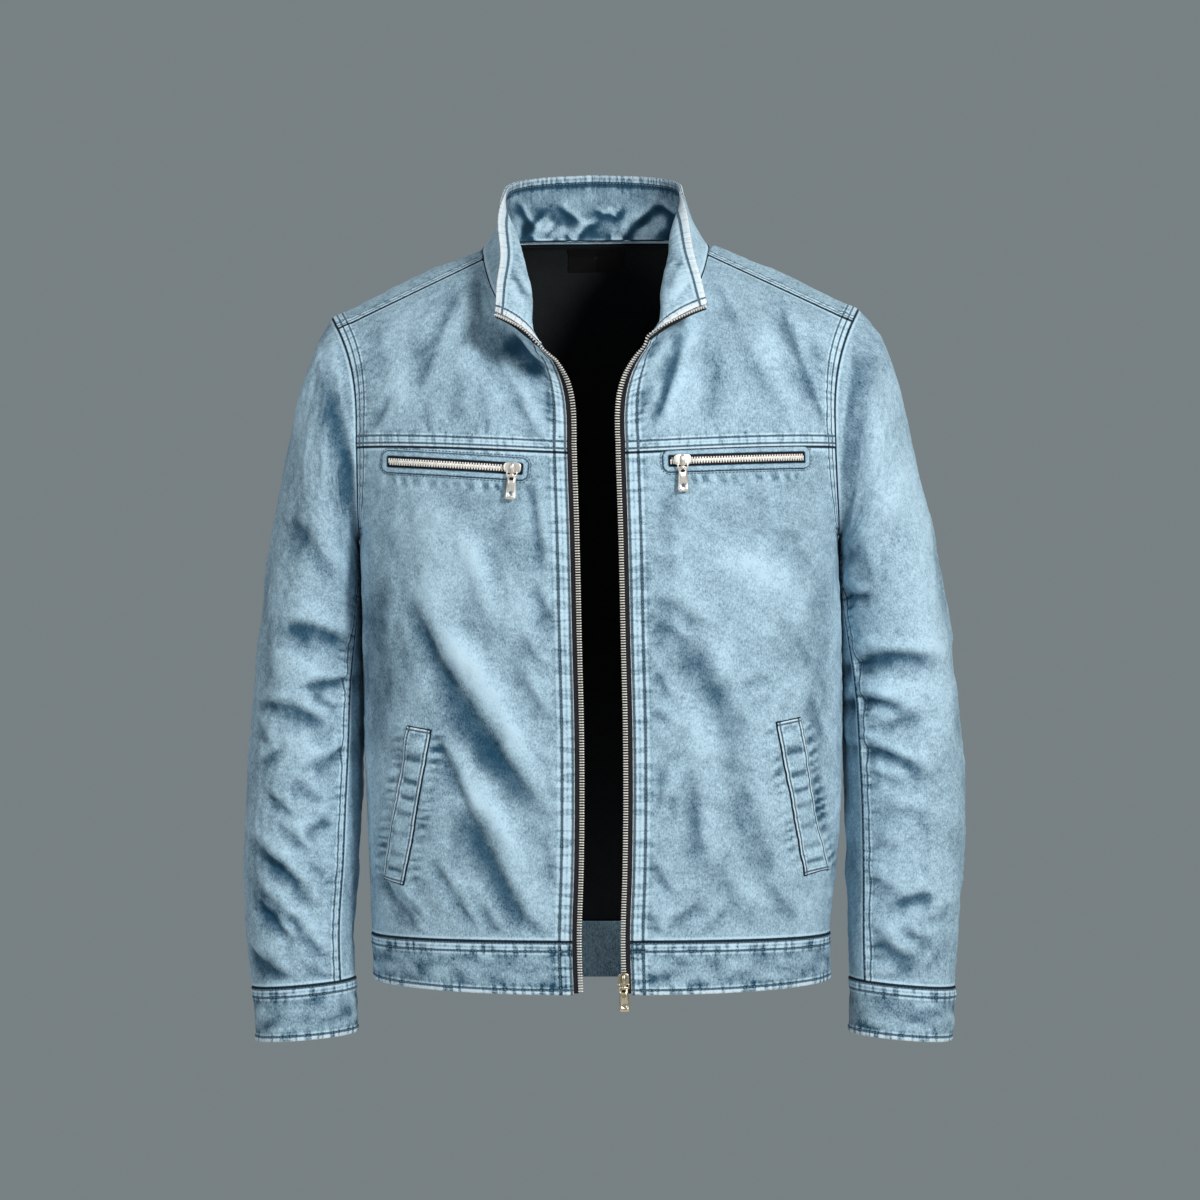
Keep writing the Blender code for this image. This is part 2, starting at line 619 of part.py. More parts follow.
def neckline_normals(side, station):
    """One direction for the walls of the collar and of the yoke or back at the neckline seam."""
    along = side * np.clip(BACK_STATION - station, SMALL_STEP, BACK_STATION - SMALL_STEP)
    total = raw_normals(lambda h, a: collar_point(a, h), np.full_like(along, SMALL_STEP), along)
    to_front, to_back = station / SEAM_STATION, (BACK_STATION - station) / (BACK_STATION - SEAM_STATION)
    for face, sign, part in (("front", -side, to_front), ("back", side, to_back)):
        share = np.clip(part, SMALL_STEP, 1 - SMALL_STEP) * NECK_SHARES[face]
        normal = raw_normals(lambda r, s: lean(upper(side, face, s, r)), np.full_like(share, 1 - SMALL_STEP), share)
        total = total + sign * normal * (part <= 1)[..., None]
    return unit(total)


def back_shares(count):
    return np.linspace(-1, 1, 2 * count + 1)


def back_point(share, z, rise):
    """Back surface over the full width: rings up to the chest level, then bent columns."""
    lower = [lean(lower_back(side, np.abs(share), z)) for side in (-1, 1)]
    above = [lean(upper(side, "back", np.abs(share), rise)) for side in (-1, 1)]
    left = (share > 0)[..., None]
    return np.where((rise > 0)[..., None], np.where(left, above[1], above[0]), np.where(left, lower[1], lower[0]))


def back_grid(levels, rises, shares):
    """(points, normals) of the back for rows of ring heights, then rows of rise."""
    heights = np.concatenate([levels, np.full(len(rises), CHEST_SEAM_Z)])
    bends = np.concatenate([np.zeros(len(levels)), rises])
    z, share = np.meshgrid(heights, shares, indexing="ij")
    rise = np.broadcast_to(bends[:, None], z.shape)
    points = back_point(share, z, rise)
    inner = np.clip(share, -1 + SMALL_STEP, 1 - SMALL_STEP)
    along = back_point(inner + SMALL_STEP, z, rise) - back_point(inner - SMALL_STEP, z, rise)
    normals = unit(np.cross(along, np.gradient(points, axis=0)))
    return points, normals * np.sign(normals[0, normals.shape[1] // 2, 1])


def back_panel():
    rises = np.linspace(0, 1, BACK_UPPER_ROWS + 1)[1:]
    points, normals = back_grid(lower_levels(), rises, back_shares(COLUMNS))
    on_loop = np.concatenate([-armhole_turn(lower_levels()[BELOW_PIT_ROWS:]), armhole_turns("back", rises)])
    stations = np.linspace(BACK_STATION, SEAM_STATION, NECK_COLUMNS["back"] + 1)
    for column, side in ((0, -1), (-1, 1)):
        normals[BELOW_PIT_ROWS:, column] = armhole_normal(side, on_loop)
        normals[-1, COLUMNS + side * np.arange(len(stations))] = neckline_normals(side, stations)
    wall("back", inset(points, SEAM_GAP / 2), normals, 0, DENIM, "denim")


def lining_grid():
    """(points, normals) of the lining, from the hem band to the neck and over the shoulders."""
    levels = lower_levels()
    below_pit, above_pit = levels[1:BELOW_PIT_ROWS], levels[BELOW_PIT_ROWS::LOWER_ARM_ROWS]
    levels = np.concatenate([levels[:1] + LINING_HEM_GAP, below_pit, above_pit])
    points, normals = back_grid(levels, np.array(LINING_ROWS) / BACK_UPPER_ROWS, back_shares(COLUMNS)[1:-1])
    return inset(points, LINING_SHORT, "last_row"), normals


def lining_panel():
    points, normals = lining_grid()
    wall("lining_back", points, normals, -LINING_INSET, LINING_THICK, "lining")


def neck_label():
    """Strip on the middle of the lining's last rows."""
    middle = COLUMNS - 1
    points, normals = (grid[-LABEL_ROWS:, middle - 1:middle + 2] for grid in lining_grid())
    centre = points[:, 1:2]
    points = inset(centre + (points - centre) * LABEL_PART, LABEL_SHORT, "first_row")
    wall("neck_label", points, normals, -LINING_INSET - LINING_THICK - SEAM_GAP, LABEL_THICK, "tape")


def band_point(share, down):
    """Hem band. share runs from the right front edge, -2, round the back, 0, to the left, 2."""
    side = np.where(share < 0, -1, 1)
    away = np.abs(share)
    back, front = np.minimum(away, 1), 2 - np.maximum(away, 1)
    z_back = HEM_SEAM_Z + (hem_level(back, "back") - HEM_SEAM_Z) * down
    z_front = HEM_SEAM_Z + (hem_level(front, "front") - HEM_SEAM_Z) * down
    start = edge_angle(z_front)
    on_back = ring(side, "back", back * math.pi / 2, z_back)
    on_front = ring(side, "front", start + (math.pi / 2 - start) * front, z_front)
    return lean(np.where((away <= 1)[..., None], on_back, on_front))


def hem_band():
    front = np.linspace(1, 2, COLUMNS + 1)[1:]
    shares = np.concatenate([-front[::-1], back_shares(COLUMNS), front])
    down, share = np.meshgrid(np.linspace(0, 1, 3), shares, indexing="ij")
    points = band_point(share, down)
    normals = normals_of(lambda d, s: band_point(s, d), down, np.clip(share, -1.999, 1.999), points * (1, 1, 0))
    wall("hem_band", inset(points, SEAM_GAP, "first_row"), normals, BAND_PROUD, BAND_THICK, "denim")


# =====================================================================================
# sleeves and collar
# =====================================================================================
def sleeve_turns():
    """Turns of the sleeve's columns, at the armhole and on the forearm, from the back seam round.

    At the armhole they are where the body's rows meet it. The under sleeve has the last ones.
    """
    back_lower = np.linspace(-math.pi, -CHEST_TURN, LOWER_ARM_ROWS + 1)
    top = [np.linspace(-CHEST_TURN, SHOULDER_SEAM_TURN, BACK_UPPER_ROWS + 1),
           np.linspace(SHOULDER_SEAM_TURN, CHEST_TURN, YOKE_ROWS + 1)[1:],
           np.linspace(CHEST_TURN, math.pi, LOWER_ARM_ROWS + 1)[1:]]
    at_armhole = np.concatenate([*top, back_lower[1:] + 2 * math.pi])
    count = len(at_armhole) - LOWER_ARM_ROWS
    forearm_top = np.linspace(FOREARM_BACK_SEAM - 2 * math.pi, FOREARM_FRONT_SEAM, count)
    forearm_under = np.linspace(FOREARM_FRONT_SEAM, FOREARM_BACK_SEAM, LOWER_ARM_ROWS + 1)[1:]
    return at_armhole, np.concatenate([forearm_top, forearm_under]), count


def sleeve_panels(label, side):
    at_armhole, on_forearm, count = sleeve_turns()
    rows = np.concatenate([SLEEVE_HEAD_ROWS[:2], np.linspace(SLEEVE_HEAD_ROWS[2], CUFF_TOP, SLEEVE_ROWS - 1)])
    run, column = np.meshgrid(rows, np.arange(len(at_armhole)), indexing="ij")
    turned = ease((run - SEAM_TURNS_FROM) / SEAM_TURNS_OVER)
    turn = at_armhole[column] * (1 - turned) + on_forearm[column] * turned
    surface = lambda r, t: lean(sleeve(side, r, t))
    points = surface(run, turn)
    middle = (points[:, :-1]).mean(1, keepdims=True)
    normals = normals_of(surface, np.maximum(run, 0.05), turn, points - middle)
    normals[0] = armhole_normal(side, at_armhole)
    points = points + normals * sleeve_relief(side, run, turn)[..., None]
    points[0] += unit(points[1] - points[0]) * SEAM_GAP / 2
    for name, part in (("top", slice(0, count)), ("under", slice(count - 1, None))):
        panel = inset(points[:, part], 2 * SEAM_GAP / 3)
        wall(f"sleeve_{name}_{label}", panel, normals[:, part], 0, DENIM, "denim")


def cuff(label, side):
    turns = np.linspace(0, 2 * math.pi, CUFF_COLUMNS, endpoint=False)
    run, turn = np.meshgrid(np.linspace(CUFF_TOP, CUFF_END, 3), turns, indexing="ij")
    surface = lambda r, t: lean(sleeve(side, r, t))
    points = surface(run, turn)
    normals = normals_of(surface, run, turn, points - points.mean(1, keepdims=True))
    wall(f"cuff_{label}", inset(points, SEAM_GAP, "first_row"), normals, BAND_PROUD, BAND_THICK, "denim", closed=True)


def collar_point(along, height):
    """Collar over its full length: along runs from -7, the right front tip, to 7, the left one."""
    station = BACK_STATION - np.abs(along)
    return lean(np.where((along > 0)[..., None], collar(1, station, height), collar(-1, station, height)))


def collar_ply(name, outer):
    """One ply. Its columns meet those of the yokes and the back at the neckline."""
    stations = np.concatenate([np.linspace(0, SEAM_STATION, NECK_COLUMNS["front"] + 1),
                               np.linspace(SEAM_STATION, BACK_STATION, NECK_COLUMNS["back"] + 1)[1:]])
    along = np.concatenate([stations - BACK_STATION, (BACK_STATION - stations)[::-1][1:]])
    height, along = np.meshgrid(np.linspace(0, 1, COLLAR_ROWS + 1), along, indexing="ij")
    points = collar_point(along, height)
    inner = np.clip(along, SMALL_STEP - BACK_STATION, BACK_STATION - SMALL_STEP)
    normals = raw_normals(lambda h, a: collar_point(a, h), height, inner)
    for side, part in ((-1, along[0] < 0), (1, along[0] >= 0)):
        normals[0, part] = neckline_normals(side, BACK_STATION - np.abs(along[0, part]))
    wall(name, inset(points, SEAM_GAP, "first_row"), normals, outer, COLLAR_PLY, "denim")


# =====================================================================================
# front zip
# =====================================================================================
def front_edge(side, foot):
    """(points, outward directions, normals) up the front edge: hem band, front, yoke, collar.

    foot is how far down the hem band the line starts.
    """
    near = np.array([0, EDGE_NEAR])
    pieces = [band_point(side * (2 - near), np.full(2, foot))]
    pieces += [lean(lower_front(side, near, np.full(2, z))) for z in lower_levels()[:-1]]
    pieces += [lean(upper(side, "front", near, np.full(2, rise))) for rise in np.linspace(0, 1, YOKE_ROWS + 1)]
    tips = np.append(np.arange(1, COLLAR_ROWS) / COLLAR_ROWS, ZIP_TOP)
    pieces += [collar_point(side * (BACK_STATION - 2 * near), np.full(2, height)) for height in tips]
    pairs = np.array(pieces)
    edge, outward = pairs[:, 0], unit(pairs[:, 0] - pairs[:, 1])
    for _ in range(EDGE_SMOOTHINGS):
        outward[1:-1] = unit(outward[:-2] + 2 * outward[1:-1] + outward[2:])
    tangent = unit(np.gradient(edge, axis=0))
    outward = unit(outward - tangent * np.sum(outward * tangent, -1, keepdims=True))
    return edge, outward, np.cross(tangent, outward) * side


def edge_strip(name, side, foot, start, width, outer, thickness, finish):
    edge, outward, normals = front_edge(side, foot)
    points = edge[:, None, :] + outward[:, None, :] * np.array([start, start + width])[None, :, None]
    wall(name, points, np.repeat(normals[:, None, :], 2, axis=1), outer, thickness, finish)


def front_zip(label, side):
    edge_strip(f"zip_tape_{label}", side, ZIP_FOOT, SEAM_GAP, TAPE_WIDTH, -TAPE_DEEP, TAPE_THICK, "tape")
    foot = TEETH_FOOT if side > 0 else ZIP_FOOT
    start = 2 * SEAM_GAP + TAPE_WIDTH
    edge_strip(f"zip_teeth_{label}", side, foot, start, TEETH_WIDTH, TEETH_PROUD, TEETH_THICK, "teeth")


# =====================================================================================
# pockets
# =====================================================================================
def front_share(side, x, z):
    """(level, share) on a front panel of a place x, z measured from the origin."""
    level = z
    for _ in range(3):
        start, end = edge_angle(z), side_angle(z, "front")
        sine = np.clip(np.abs(x - torso_size(z, "centre_x")) / ring_half_width(z, "front"), 0, 1)
        share = np.clip((np.arcsin(sine ** (1 / RING_POWER)) - start) / (end - start), 0, 1)
        level = z + seam_dip(share, level)
    return level, share


def on_front(side, x, z):
    """(points, normals) at places x, z, on the flat faces of the front panel itself."""
    level, share = front_share(side, x, z)
    row = np.clip(np.interp(level, lower_levels(), np.arange(len(lower_levels()))), 0, len(lower_levels()) - 1.001)
    column = np.clip(share * COLUMNS, 0, COLUMNS - 0.001)
    i, j = row.astype(int), column.astype(int)
    u, v = (row - i)[..., None], (column - j)[..., None]
    found = []
    for grid in front_grid(side):
        near = grid[i, j] * (1 - u) + grid[i + 1, j] * u
        far = grid[i, j + 1] * (1 - u) + grid[i + 1, j + 1] * u
        found.append(near * (1 - v) + far * v)
    return found[0], unit(found[1])


def patch(side, start, end, across, along):
    """Places on a front: along is 0 to 1 from start to end, across in metres, upwards or outwards."""
    start, end = np.array(start), np.array(end)
    way = unit(end - start) * (1 if abs(end[0] - start[0]) > abs(end[1] - start[1]) else -1)
    square = np.array([-way[1], way[0]]) * side
    places = start + (end - start) * np.asarray(along)[..., None] + square * np.asarray(across)[..., None]
    return on_front(side, places[..., 0], places[..., 1])


def slot_stations(side, start, end):
    """Where a slot crosses the panel's columns, from 0 to 1 along it, with both ends."""
    fine = np.linspace(0, 1, 101)
    places = np.array(start) + (np.array(end) - start) * fine[:, None]
    column = front_share(side, places[:, 0], places[:, 1])[1] * COLUMNS
    crossed = np.arange(math.ceil(column[0]), math.floor(column[-1]) + 1)
    inside = np.interp(crossed, column, fine)
    return np.concatenate([[0], inside[(inside > 0.04) & (inside < 0.96)], [1]])


def chest_pocket(label, pocket):
    """Zipped slot: a welt frame on the panel, and in its window the tape with the teeth on it."""
    side, inner, outer = pocket["side"], pocket["inner"], pocket["outer"]
    length = float(np.hypot(*(np.array(outer) - inner)))
    stations = slot_stations(side, inner, outer)
    rim = CHEST_WELT_RIM / length
    loops = []
    for half, ends in ((SLOT_HALF + CHEST_WELT_RIM, rim), (SLOT_HALF, 0.0)):
        along = np.concatenate([[-ends], stations[1:-1], [1 + ends]])
        across = np.repeat([-half, half], len(along))
        loops.append(patch(side, inner, outer, across, np.concatenate([along, along[::-1]])))
    points, normals = (np.stack([loop[i] for loop in loops]) for i in (0, 1))
    wall(f"chest_welt_{label}", points, normals, LAID_GAP + WELT_THICK, WELT_THICK, "denim", closed=True)
    inside = np.clip(stations, SEAM_GAP / length, 1 - SEAM_GAP / length)
    across, along = np.meshgrid(np.array([-1, 1]) * (SLOT_HALF - SEAM_GAP), inside, indexing="ij")
    points, normals = patch(side, inner, outer, across, along)
    wall(f"chest_tape_{label}", points, normals, LAID_GAP + POCKET_TAPE, POCKET_TAPE, "tape")
    across, along = np.meshgrid(np.array([-1, 1]) * CHAIN_HALF, np.clip(stations, 0.02, 0.98), indexing="ij")
    points, normals = patch(side, inner, outer, across, along)
    top = LAID_GAP + POCKET_TAPE + SEAM_GAP + CHAIN_THICK
    wall(f"chest_teeth_{label}", points, normals, top, CHAIN_THICK, "teeth")
    chest_slider(label, pocket, top)


def hand_pocket(label, pocket):
    across, along = np.meshgrid(np.linspace(-0.5, 0.5, 5) * pocket["width"], np.linspace(0, 1, 9), indexing="ij")
    points, normals = patch(pocket["side"], pocket["top"], pocket["bottom"], across, along)
    wall(f"hand_welt_{label}", points, normals, LAID_GAP + WELT_THICK, WELT_THICK, "denim")


# =====================================================================================
# sliders and pulls
# =====================================================================================
def block(size, centre, bevel=0.0):
    working = bmesh.new()
    bmesh.ops.create_cube(working, size=1.0, matrix=Matrix.Translation(centre) @ Matrix.Diagonal((*size, 1)))
    if bevel:
        bmesh.ops.bevel(working, geom=working.edges[:], offset=bevel, segments=1, affect="EDGES", profile=0.5)
    return working


def rod(radius, length, centre, axis, sides):
    working = bmesh.new()
    turned = Matrix.Rotation(math.pi / 2, 4, "Y" if axis == "X" else "X")
    bmesh.ops.create_cone(working, cap_ends=True, segments=sides, radius1=radius, radius2=radius, depth=length,
                          matrix=Matrix.Translation(centre) @ turned)
    return working


def joined(name, finish, matrix, shapes):
    """One object from several shapes: each (operation, bmesh) after the first joins or cuts it."""
    made = None
    for index, (operation, working) in enumerate(shapes):
        mesh = bpy.data.meshes.new(name)
        working.to_mesh(mesh)
        working.free()
        if made is None:
            made = place(name, mesh, finish)
            made.matrix_world = matrix
            continue
        helper = bpy.data.objects.new(f"{name}_helper_{index}", mesh)
        helper.hide_render = True
        helper.display_type = "WIRE"
        helper.matrix_world = matrix
        bpy.data.collections["cutters"].objects.link(helper)
        boolean = made.modifiers.new(f"step_{index}", "BOOLEAN")
        boolean.object = helper
        boolean.operation = operation
    return made


def metal_frame(origin, right, out):
    """Placing matrix: X along the hinge pin, Y into the cloth, Z up, the origin on the pin."""
    x = Vector(right).normalized()
    z = x.cross(-Vector(out)).normalized()
    matrix = Matrix((x, z.cross(x), z)).transposed().to_4x4()
    matrix.translation = Vector(origin)
    return matrix


def hanging(matrix):
    """The same frame, turned about its pin until a pull on it hangs straight down."""
    x = matrix.col[0].to_3d()
    z = (Vector((0, 0, 1)) - x * x.z).normalized()
    turned = Matrix((x, z.cross(x), z)).transposed().to_4x4()
    turned.translation = matrix.translation
    return turned


def slider(name, finish, matrix, size):
    """Slider body with a crown, and two ears below it that carry the hinge pin."""
    width, depth, height = size
    foot = EYE_RADIUS + PIN_CLEARANCE
    ear_x = EAR_SPAN / 2 - EAR / 2
    middle = depth / 2 - SLIDER_FRONT
    joined(name, finish, matrix, [
        ("UNION", block((width, depth, height), (0, middle, foot + height / 2), BODY_BEVEL)),
        ("UNION", block((EAR, EAR_DEPTH, EAR_HEIGHT), (-ear_x, 0, EAR_CENTRE_Z))),
        ("UNION", block((EAR, EAR_DEPTH, EAR_HEIGHT), (ear_x, 0, EAR_CENTRE_Z))),
        ("UNION", rod(PIN_RADIUS, EAR_SPAN - EAR, (0, 0, 0), "X", PIN_SIDES)),
        ("UNION", block((width * CROWN_PART, CROWN_DEPTH, height * CROWN_PART),
                        (0, -SLIDER_FRONT, foot + height / 2), SMALL_BEVEL)),
    ])


def pull(name, finish, matrix):
    """Pull tab that hangs from the pin by a rolled eye."""
    eye_width = EAR_SPAN - 2 * EAR - 2 * PIN_CLEARANCE
    blade = TAB_LENGTH - TAB_NECK
    joined(name, finish, matrix, [
        ("UNION", rod(EYE_RADIUS, eye_width, (0, 0, 0), "X", EYE_SIDES)),
        ("UNION", block((TAB_NECK_WIDTH, TAB_THICK, TAB_NECK), (0, 0, -TAB_NECK_START - TAB_NECK / 2))),
        ("UNION", block((TAB_WIDTH, TAB_THICK, blade), (0, 0, -TAB_NECK - blade / 2), SMALL_BEVEL)),
        ("DIFFERENCE", rod(PIN_RADIUS + PIN_CLEARANCE, eye_width * 2, (0, 0, 0), "X", PIN_SIDES)),
        ("DIFFERENCE", rod(TAB_HOLE, TAB_THICK * 9, (0, 0, -TAB_LENGTH + TAB_HOLE_UP), "Y", PIN_SIDES)),
    ])


def chest_slider(label, pocket, seat):
    """Slider of a chest zip, on its teeth, seat above the panel."""
    side, share = pocket["side"], pocket["slider"]
    along = np.array([share, share + 0.05])
    (at, ahead), (normal, _) = patch(side, pocket["inner"], pocket["outer"], np.zeros(2), along)
    width, depth, height = CHEST_SLIDER
    origin = at + normal * (seat + SLIDER_SEAT + depth - SLIDER_FRONT)
    matrix = metal_frame(origin, (ahead - at) * side, normal)
    matrix.translation -= matrix.col[2].to_3d() * (EYE_RADIUS + PIN_CLEARANCE + height / 2)
    slider(f"chest_slider_{label}", "nickel", matrix, CHEST_SLIDER)
    pull(f"chest_pull_{label}", "nickel", hanging(matrix))


def front_slider():
    """Slider at the foot of the left teeth, with its pull hanging below the hem."""
    edge, outward, normals = front_edge(1, TEETH_FOOT)
    depth, height = FRONT_SLIDER[1:]
    at = edge[0] + outward[0] * (2 * SEAM_GAP + TAPE_WIDTH + TEETH_WIDTH / 2)
    origin = at + normals[0] * (TEETH_PROUD + SLIDER_SEAT + depth - SLIDER_FRONT)
    matrix = metal_frame(origin, -outward[0], normals[0])
    matrix.translation -= matrix.col[2].to_3d() * (EYE_RADIUS + PIN_CLEARANCE + height - FRONT_SLIDER_DROP)
    slider("zip_slider", "brass", matrix, FRONT_SLIDER)
    pull("zip_pull", "brass", hanging(matrix))


# =====================================================================================
def build():
    for old in list(bpy.data.objects):
        bpy.data.objects.remove(old, do_unlink=True)
    for name in ("denim_jacket", "cutters"):
        collection = bpy.data.collections.new(name)
        bpy.context.scene.collection.children.link(collection)
    for label, side in SIDES.items():
        front_panel(label, side)
        front_yoke(label, side)
        sleeve_panels(label, side)
        cuff(label, side)
        front_zip(label, side)
        chest_pocket(label, CHEST_POCKETS[label])
        hand_pocket(label, HAND_POCKETS[label])
    back_panel()
    lining_panel()
    neck_label()
    hem_band()
    collar_ply("collar_outer", 0.0)
    collar_ply("collar_inner", -COLLAR_PLY - 2 * SEAM_GAP)
    front_slider()


build()
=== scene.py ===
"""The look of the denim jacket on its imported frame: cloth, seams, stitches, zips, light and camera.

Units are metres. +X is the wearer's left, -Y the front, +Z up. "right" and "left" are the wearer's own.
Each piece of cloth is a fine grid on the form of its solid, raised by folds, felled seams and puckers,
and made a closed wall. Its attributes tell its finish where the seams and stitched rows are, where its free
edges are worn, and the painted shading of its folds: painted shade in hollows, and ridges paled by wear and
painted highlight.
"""

import json
import math
from functools import partial

import bpy
import numpy as np
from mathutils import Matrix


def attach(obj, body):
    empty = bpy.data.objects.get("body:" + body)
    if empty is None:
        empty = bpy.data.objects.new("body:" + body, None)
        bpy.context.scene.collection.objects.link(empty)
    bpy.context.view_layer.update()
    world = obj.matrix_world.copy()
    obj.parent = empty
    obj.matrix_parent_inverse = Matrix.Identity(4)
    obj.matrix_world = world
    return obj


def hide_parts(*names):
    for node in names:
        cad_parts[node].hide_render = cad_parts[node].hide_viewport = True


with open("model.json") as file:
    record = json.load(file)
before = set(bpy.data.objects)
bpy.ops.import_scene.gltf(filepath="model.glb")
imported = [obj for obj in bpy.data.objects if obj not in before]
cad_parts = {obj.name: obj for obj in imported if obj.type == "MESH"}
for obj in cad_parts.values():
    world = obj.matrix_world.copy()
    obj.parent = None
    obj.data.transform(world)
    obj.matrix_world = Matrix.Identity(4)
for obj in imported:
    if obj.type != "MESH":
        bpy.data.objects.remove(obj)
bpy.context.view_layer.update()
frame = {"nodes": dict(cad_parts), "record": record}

SIDES = {"right": -1, "left": 1}

# ---- the forms: body rings, from hem to chest ----
TORSO_COLUMNS = ("z", "centre_x", "half_width", "front", "back")
TORSO = np.array([
    (-0.6600, 0.0027, 0.2018, 0.1170, 0.1130),
    (-0.6040, 0.0010, 0.2030, 0.1190, 0.1130),
    (-0.5410, 0.0027, 0.2074, 0.1220, 0.1090),
    (-0.4880, 0.0033, 0.2102, 0.1240, 0.1050),
    (-0.4250, 0.0030, 0.2122, 0.1260, 0.1030),
    (-0.3450, 0.0011, 0.2125, 0.1290, 0.1060),
    (-0.2560, -0.0009, 0.2120, 0.1320, 0.1110),
    (-0.1765, -0.0034, 0.2120, 0.1310, 0.1150),
    (0.0800, -0.0034, 0.2120, 0.1310, 0.1150),
])
RING_POWER = 0.80
HEM_SEAM_Z = -0.6040
HEM_FRONT_Z = -0.6500
HEM_SIDE_RISE = 0.0055
HEM_BACK_DROP = 0.0050
CHEST_SEAM_Z = -0.1765
CHEST_SEAM_DIP = 0.0070
HALF_GAP = 0.0250

# ---- armhole loop ----
ARMHOLE_TOP_Z = -0.0550
ARMHOLE_PIT_Z = -0.2520
ARMHOLE_FRONT = 0.0720
ARMHOLE_BACK = 0.0700
ARMHOLE_X = 0.2085
ARMHOLE_POWER = 0.9
SHOULDER_FLARE = 0.0253
SHOULDER_FLARE_POWER = 2.4
PIT_FLARE = 0.0035
SEAM_MITRE = (0.6, 0.25, 0.8)
SHOULDER_SEAM_TURN = math.radians(30)

# ---- neckline and collar, station 0 at the front edge to station 7 at the back middle ----
COLLAR_COLUMNS = ("base_x", "base_y", "base_z", "mid_x", "mid_y", "mid_z", "top_x", "top_y", "top_z", "shift")
COLLAR = np.array([
    (0.0475, -0.1430, -0.0900, 0.0680, -0.1400, -0.0725, 0.0900, -0.1280, -0.0604, 0.0054),
    (0.0720, -0.1120, -0.0680, 0.0590, -0.1180, -0.0480, 0.0879, -0.1120, -0.0367, 0.0030),
    (0.0905, -0.0700, -0.0360, 0.0650, -0.0850, -0.0180, 0.0838, -0.0880, -0.0099, 0.0010),
    (0.0992, -0.0320, -0.0075, 0.0730, -0.0460, 0.0120, 0.0840, -0.0520, 0.0234, -0.0028),
    (0.0990, 0.0050, 0.0055, 0.0850, -0.0010, 0.0310, 0.0810, -0.0050, 0.0512, -0.0034),
    (0.0840, 0.0450, 0.0118, 0.0800, 0.0440, 0.0390, 0.0750, 0.0420, 0.0662, -0.0028),
    (0.0480, 0.0730, 0.0150, 0.0490, 0.0750, 0.0440, 0.0480, 0.0720, 0.0740, -0.0030),
    (0.0000, 0.0820, 0.0155, 0.0000, 0.0865, 0.0465, 0.0000, 0.0850, 0.0775, -0.0018),
])
SEAM_STATION = 3
BACK_STATION = 7
NECK_TILT = 0.0034
SHOULDER_TILT = 0.0038

# ---- how the cloth bends above the chest seam; columns of the front edge: z, half_gap, y ----
BEND_POWER = 1.15
FRONT_NECK_BEND = math.radians(33)
FRONT_SEAM_BEND = math.radians(68)
BACK_NECK_BEND = math.radians(78)
BACK_SEAM_BEND = math.radians(109)
BACK_BEND_POWER = 2.4
# The back bends less beside the collar's corner, so that the shoulder line runs into the collar.
NECK_CORNER_EASE = math.radians(10)
NECK_CORNER_IN = 0.080
NECK_CORNER_REACH = 0.055
SHOULDER_CROWN = math.radians(3.5)
NECK_SHARES = {"front": 1 / 3, "back": 1 / 2}
EDGE_ROLL_SHARE = 0.42
EDGE_ROLL_FADES = (0.20, 0.12)
EDGE = np.array([
    (-0.1900, 0.0250, -0.1300),
    (-0.1650, 0.0248, -0.1290),
    (-0.1500, 0.0250, -0.1280),
    (-0.1330, 0.0268, -0.1285),
    (-0.1160, 0.0315, -0.1320),
    (-0.1030, 0.0380, -0.1380),
    (-0.0950, 0.0435, -0.1420),
    (-0.0860, 0.0500, -0.1440),
])

# ---- sleeve rings; columns: outer_x, outer_z, inner_x, inner_z, half_depth, centre_y ----
SLEEVE = np.array([
    (0.2500, -0.0770, 0.2146, -0.2550, 0.0740, 0.0010),
    (0.2600, -0.1040, 0.2142, -0.2580, 0.0755, 0.0040),
    (0.2700, -0.1390, 0.2138, -0.2640, 0.0765, 0.0090),
    (0.2805, -0.1830, 0.2133, -0.2740, 0.0770, 0.0150),
    (0.2895, -0.2220, 0.2129, -0.2910, 0.0765, 0.0210),
    (0.2995, -0.2700, 0.2125, -0.3200, 0.0745, 0.0260),
    (0.3075, -0.3200, 0.2122, -0.3550, 0.0715, 0.0280),
    (0.3130, -0.3700, 0.2124, -0.3930, 0.0690, 0.0270),
    (0.3180, -0.4300, 0.2136, -0.4420, 0.0665, 0.0220),
    (0.3208, -0.4850, 0.2155, -0.4880, 0.0640, 0.0150),
    (0.3203, -0.5400, 0.2170, -0.5400, 0.0600, 0.0070),
    (0.3172, -0.5950, 0.2190, -0.5920, 0.0555, -0.0010),
    (0.3115, -0.6520, 0.2195, -0.6440, 0.0500, -0.0080),
    (0.3080, -0.6990, 0.2180, -0.6915, 0.0480, -0.0120),
])
SLEEVE_SHIFTS = (0.0035, 0.0008)
SHIFT_FROM = 6
SHIFT_OVER = 7
SLEEVE_POWER = 0.92
SHOULDER_TILT_ENDS = 6
CUFF_TOP = 13
CUFF_END = 14
FOREARM_FRONT_SEAM = math.radians(138)
FOREARM_BACK_SEAM = math.radians(235)
SEAM_TURNS_FROM = 3.0
SEAM_TURNS_OVER = 5.5

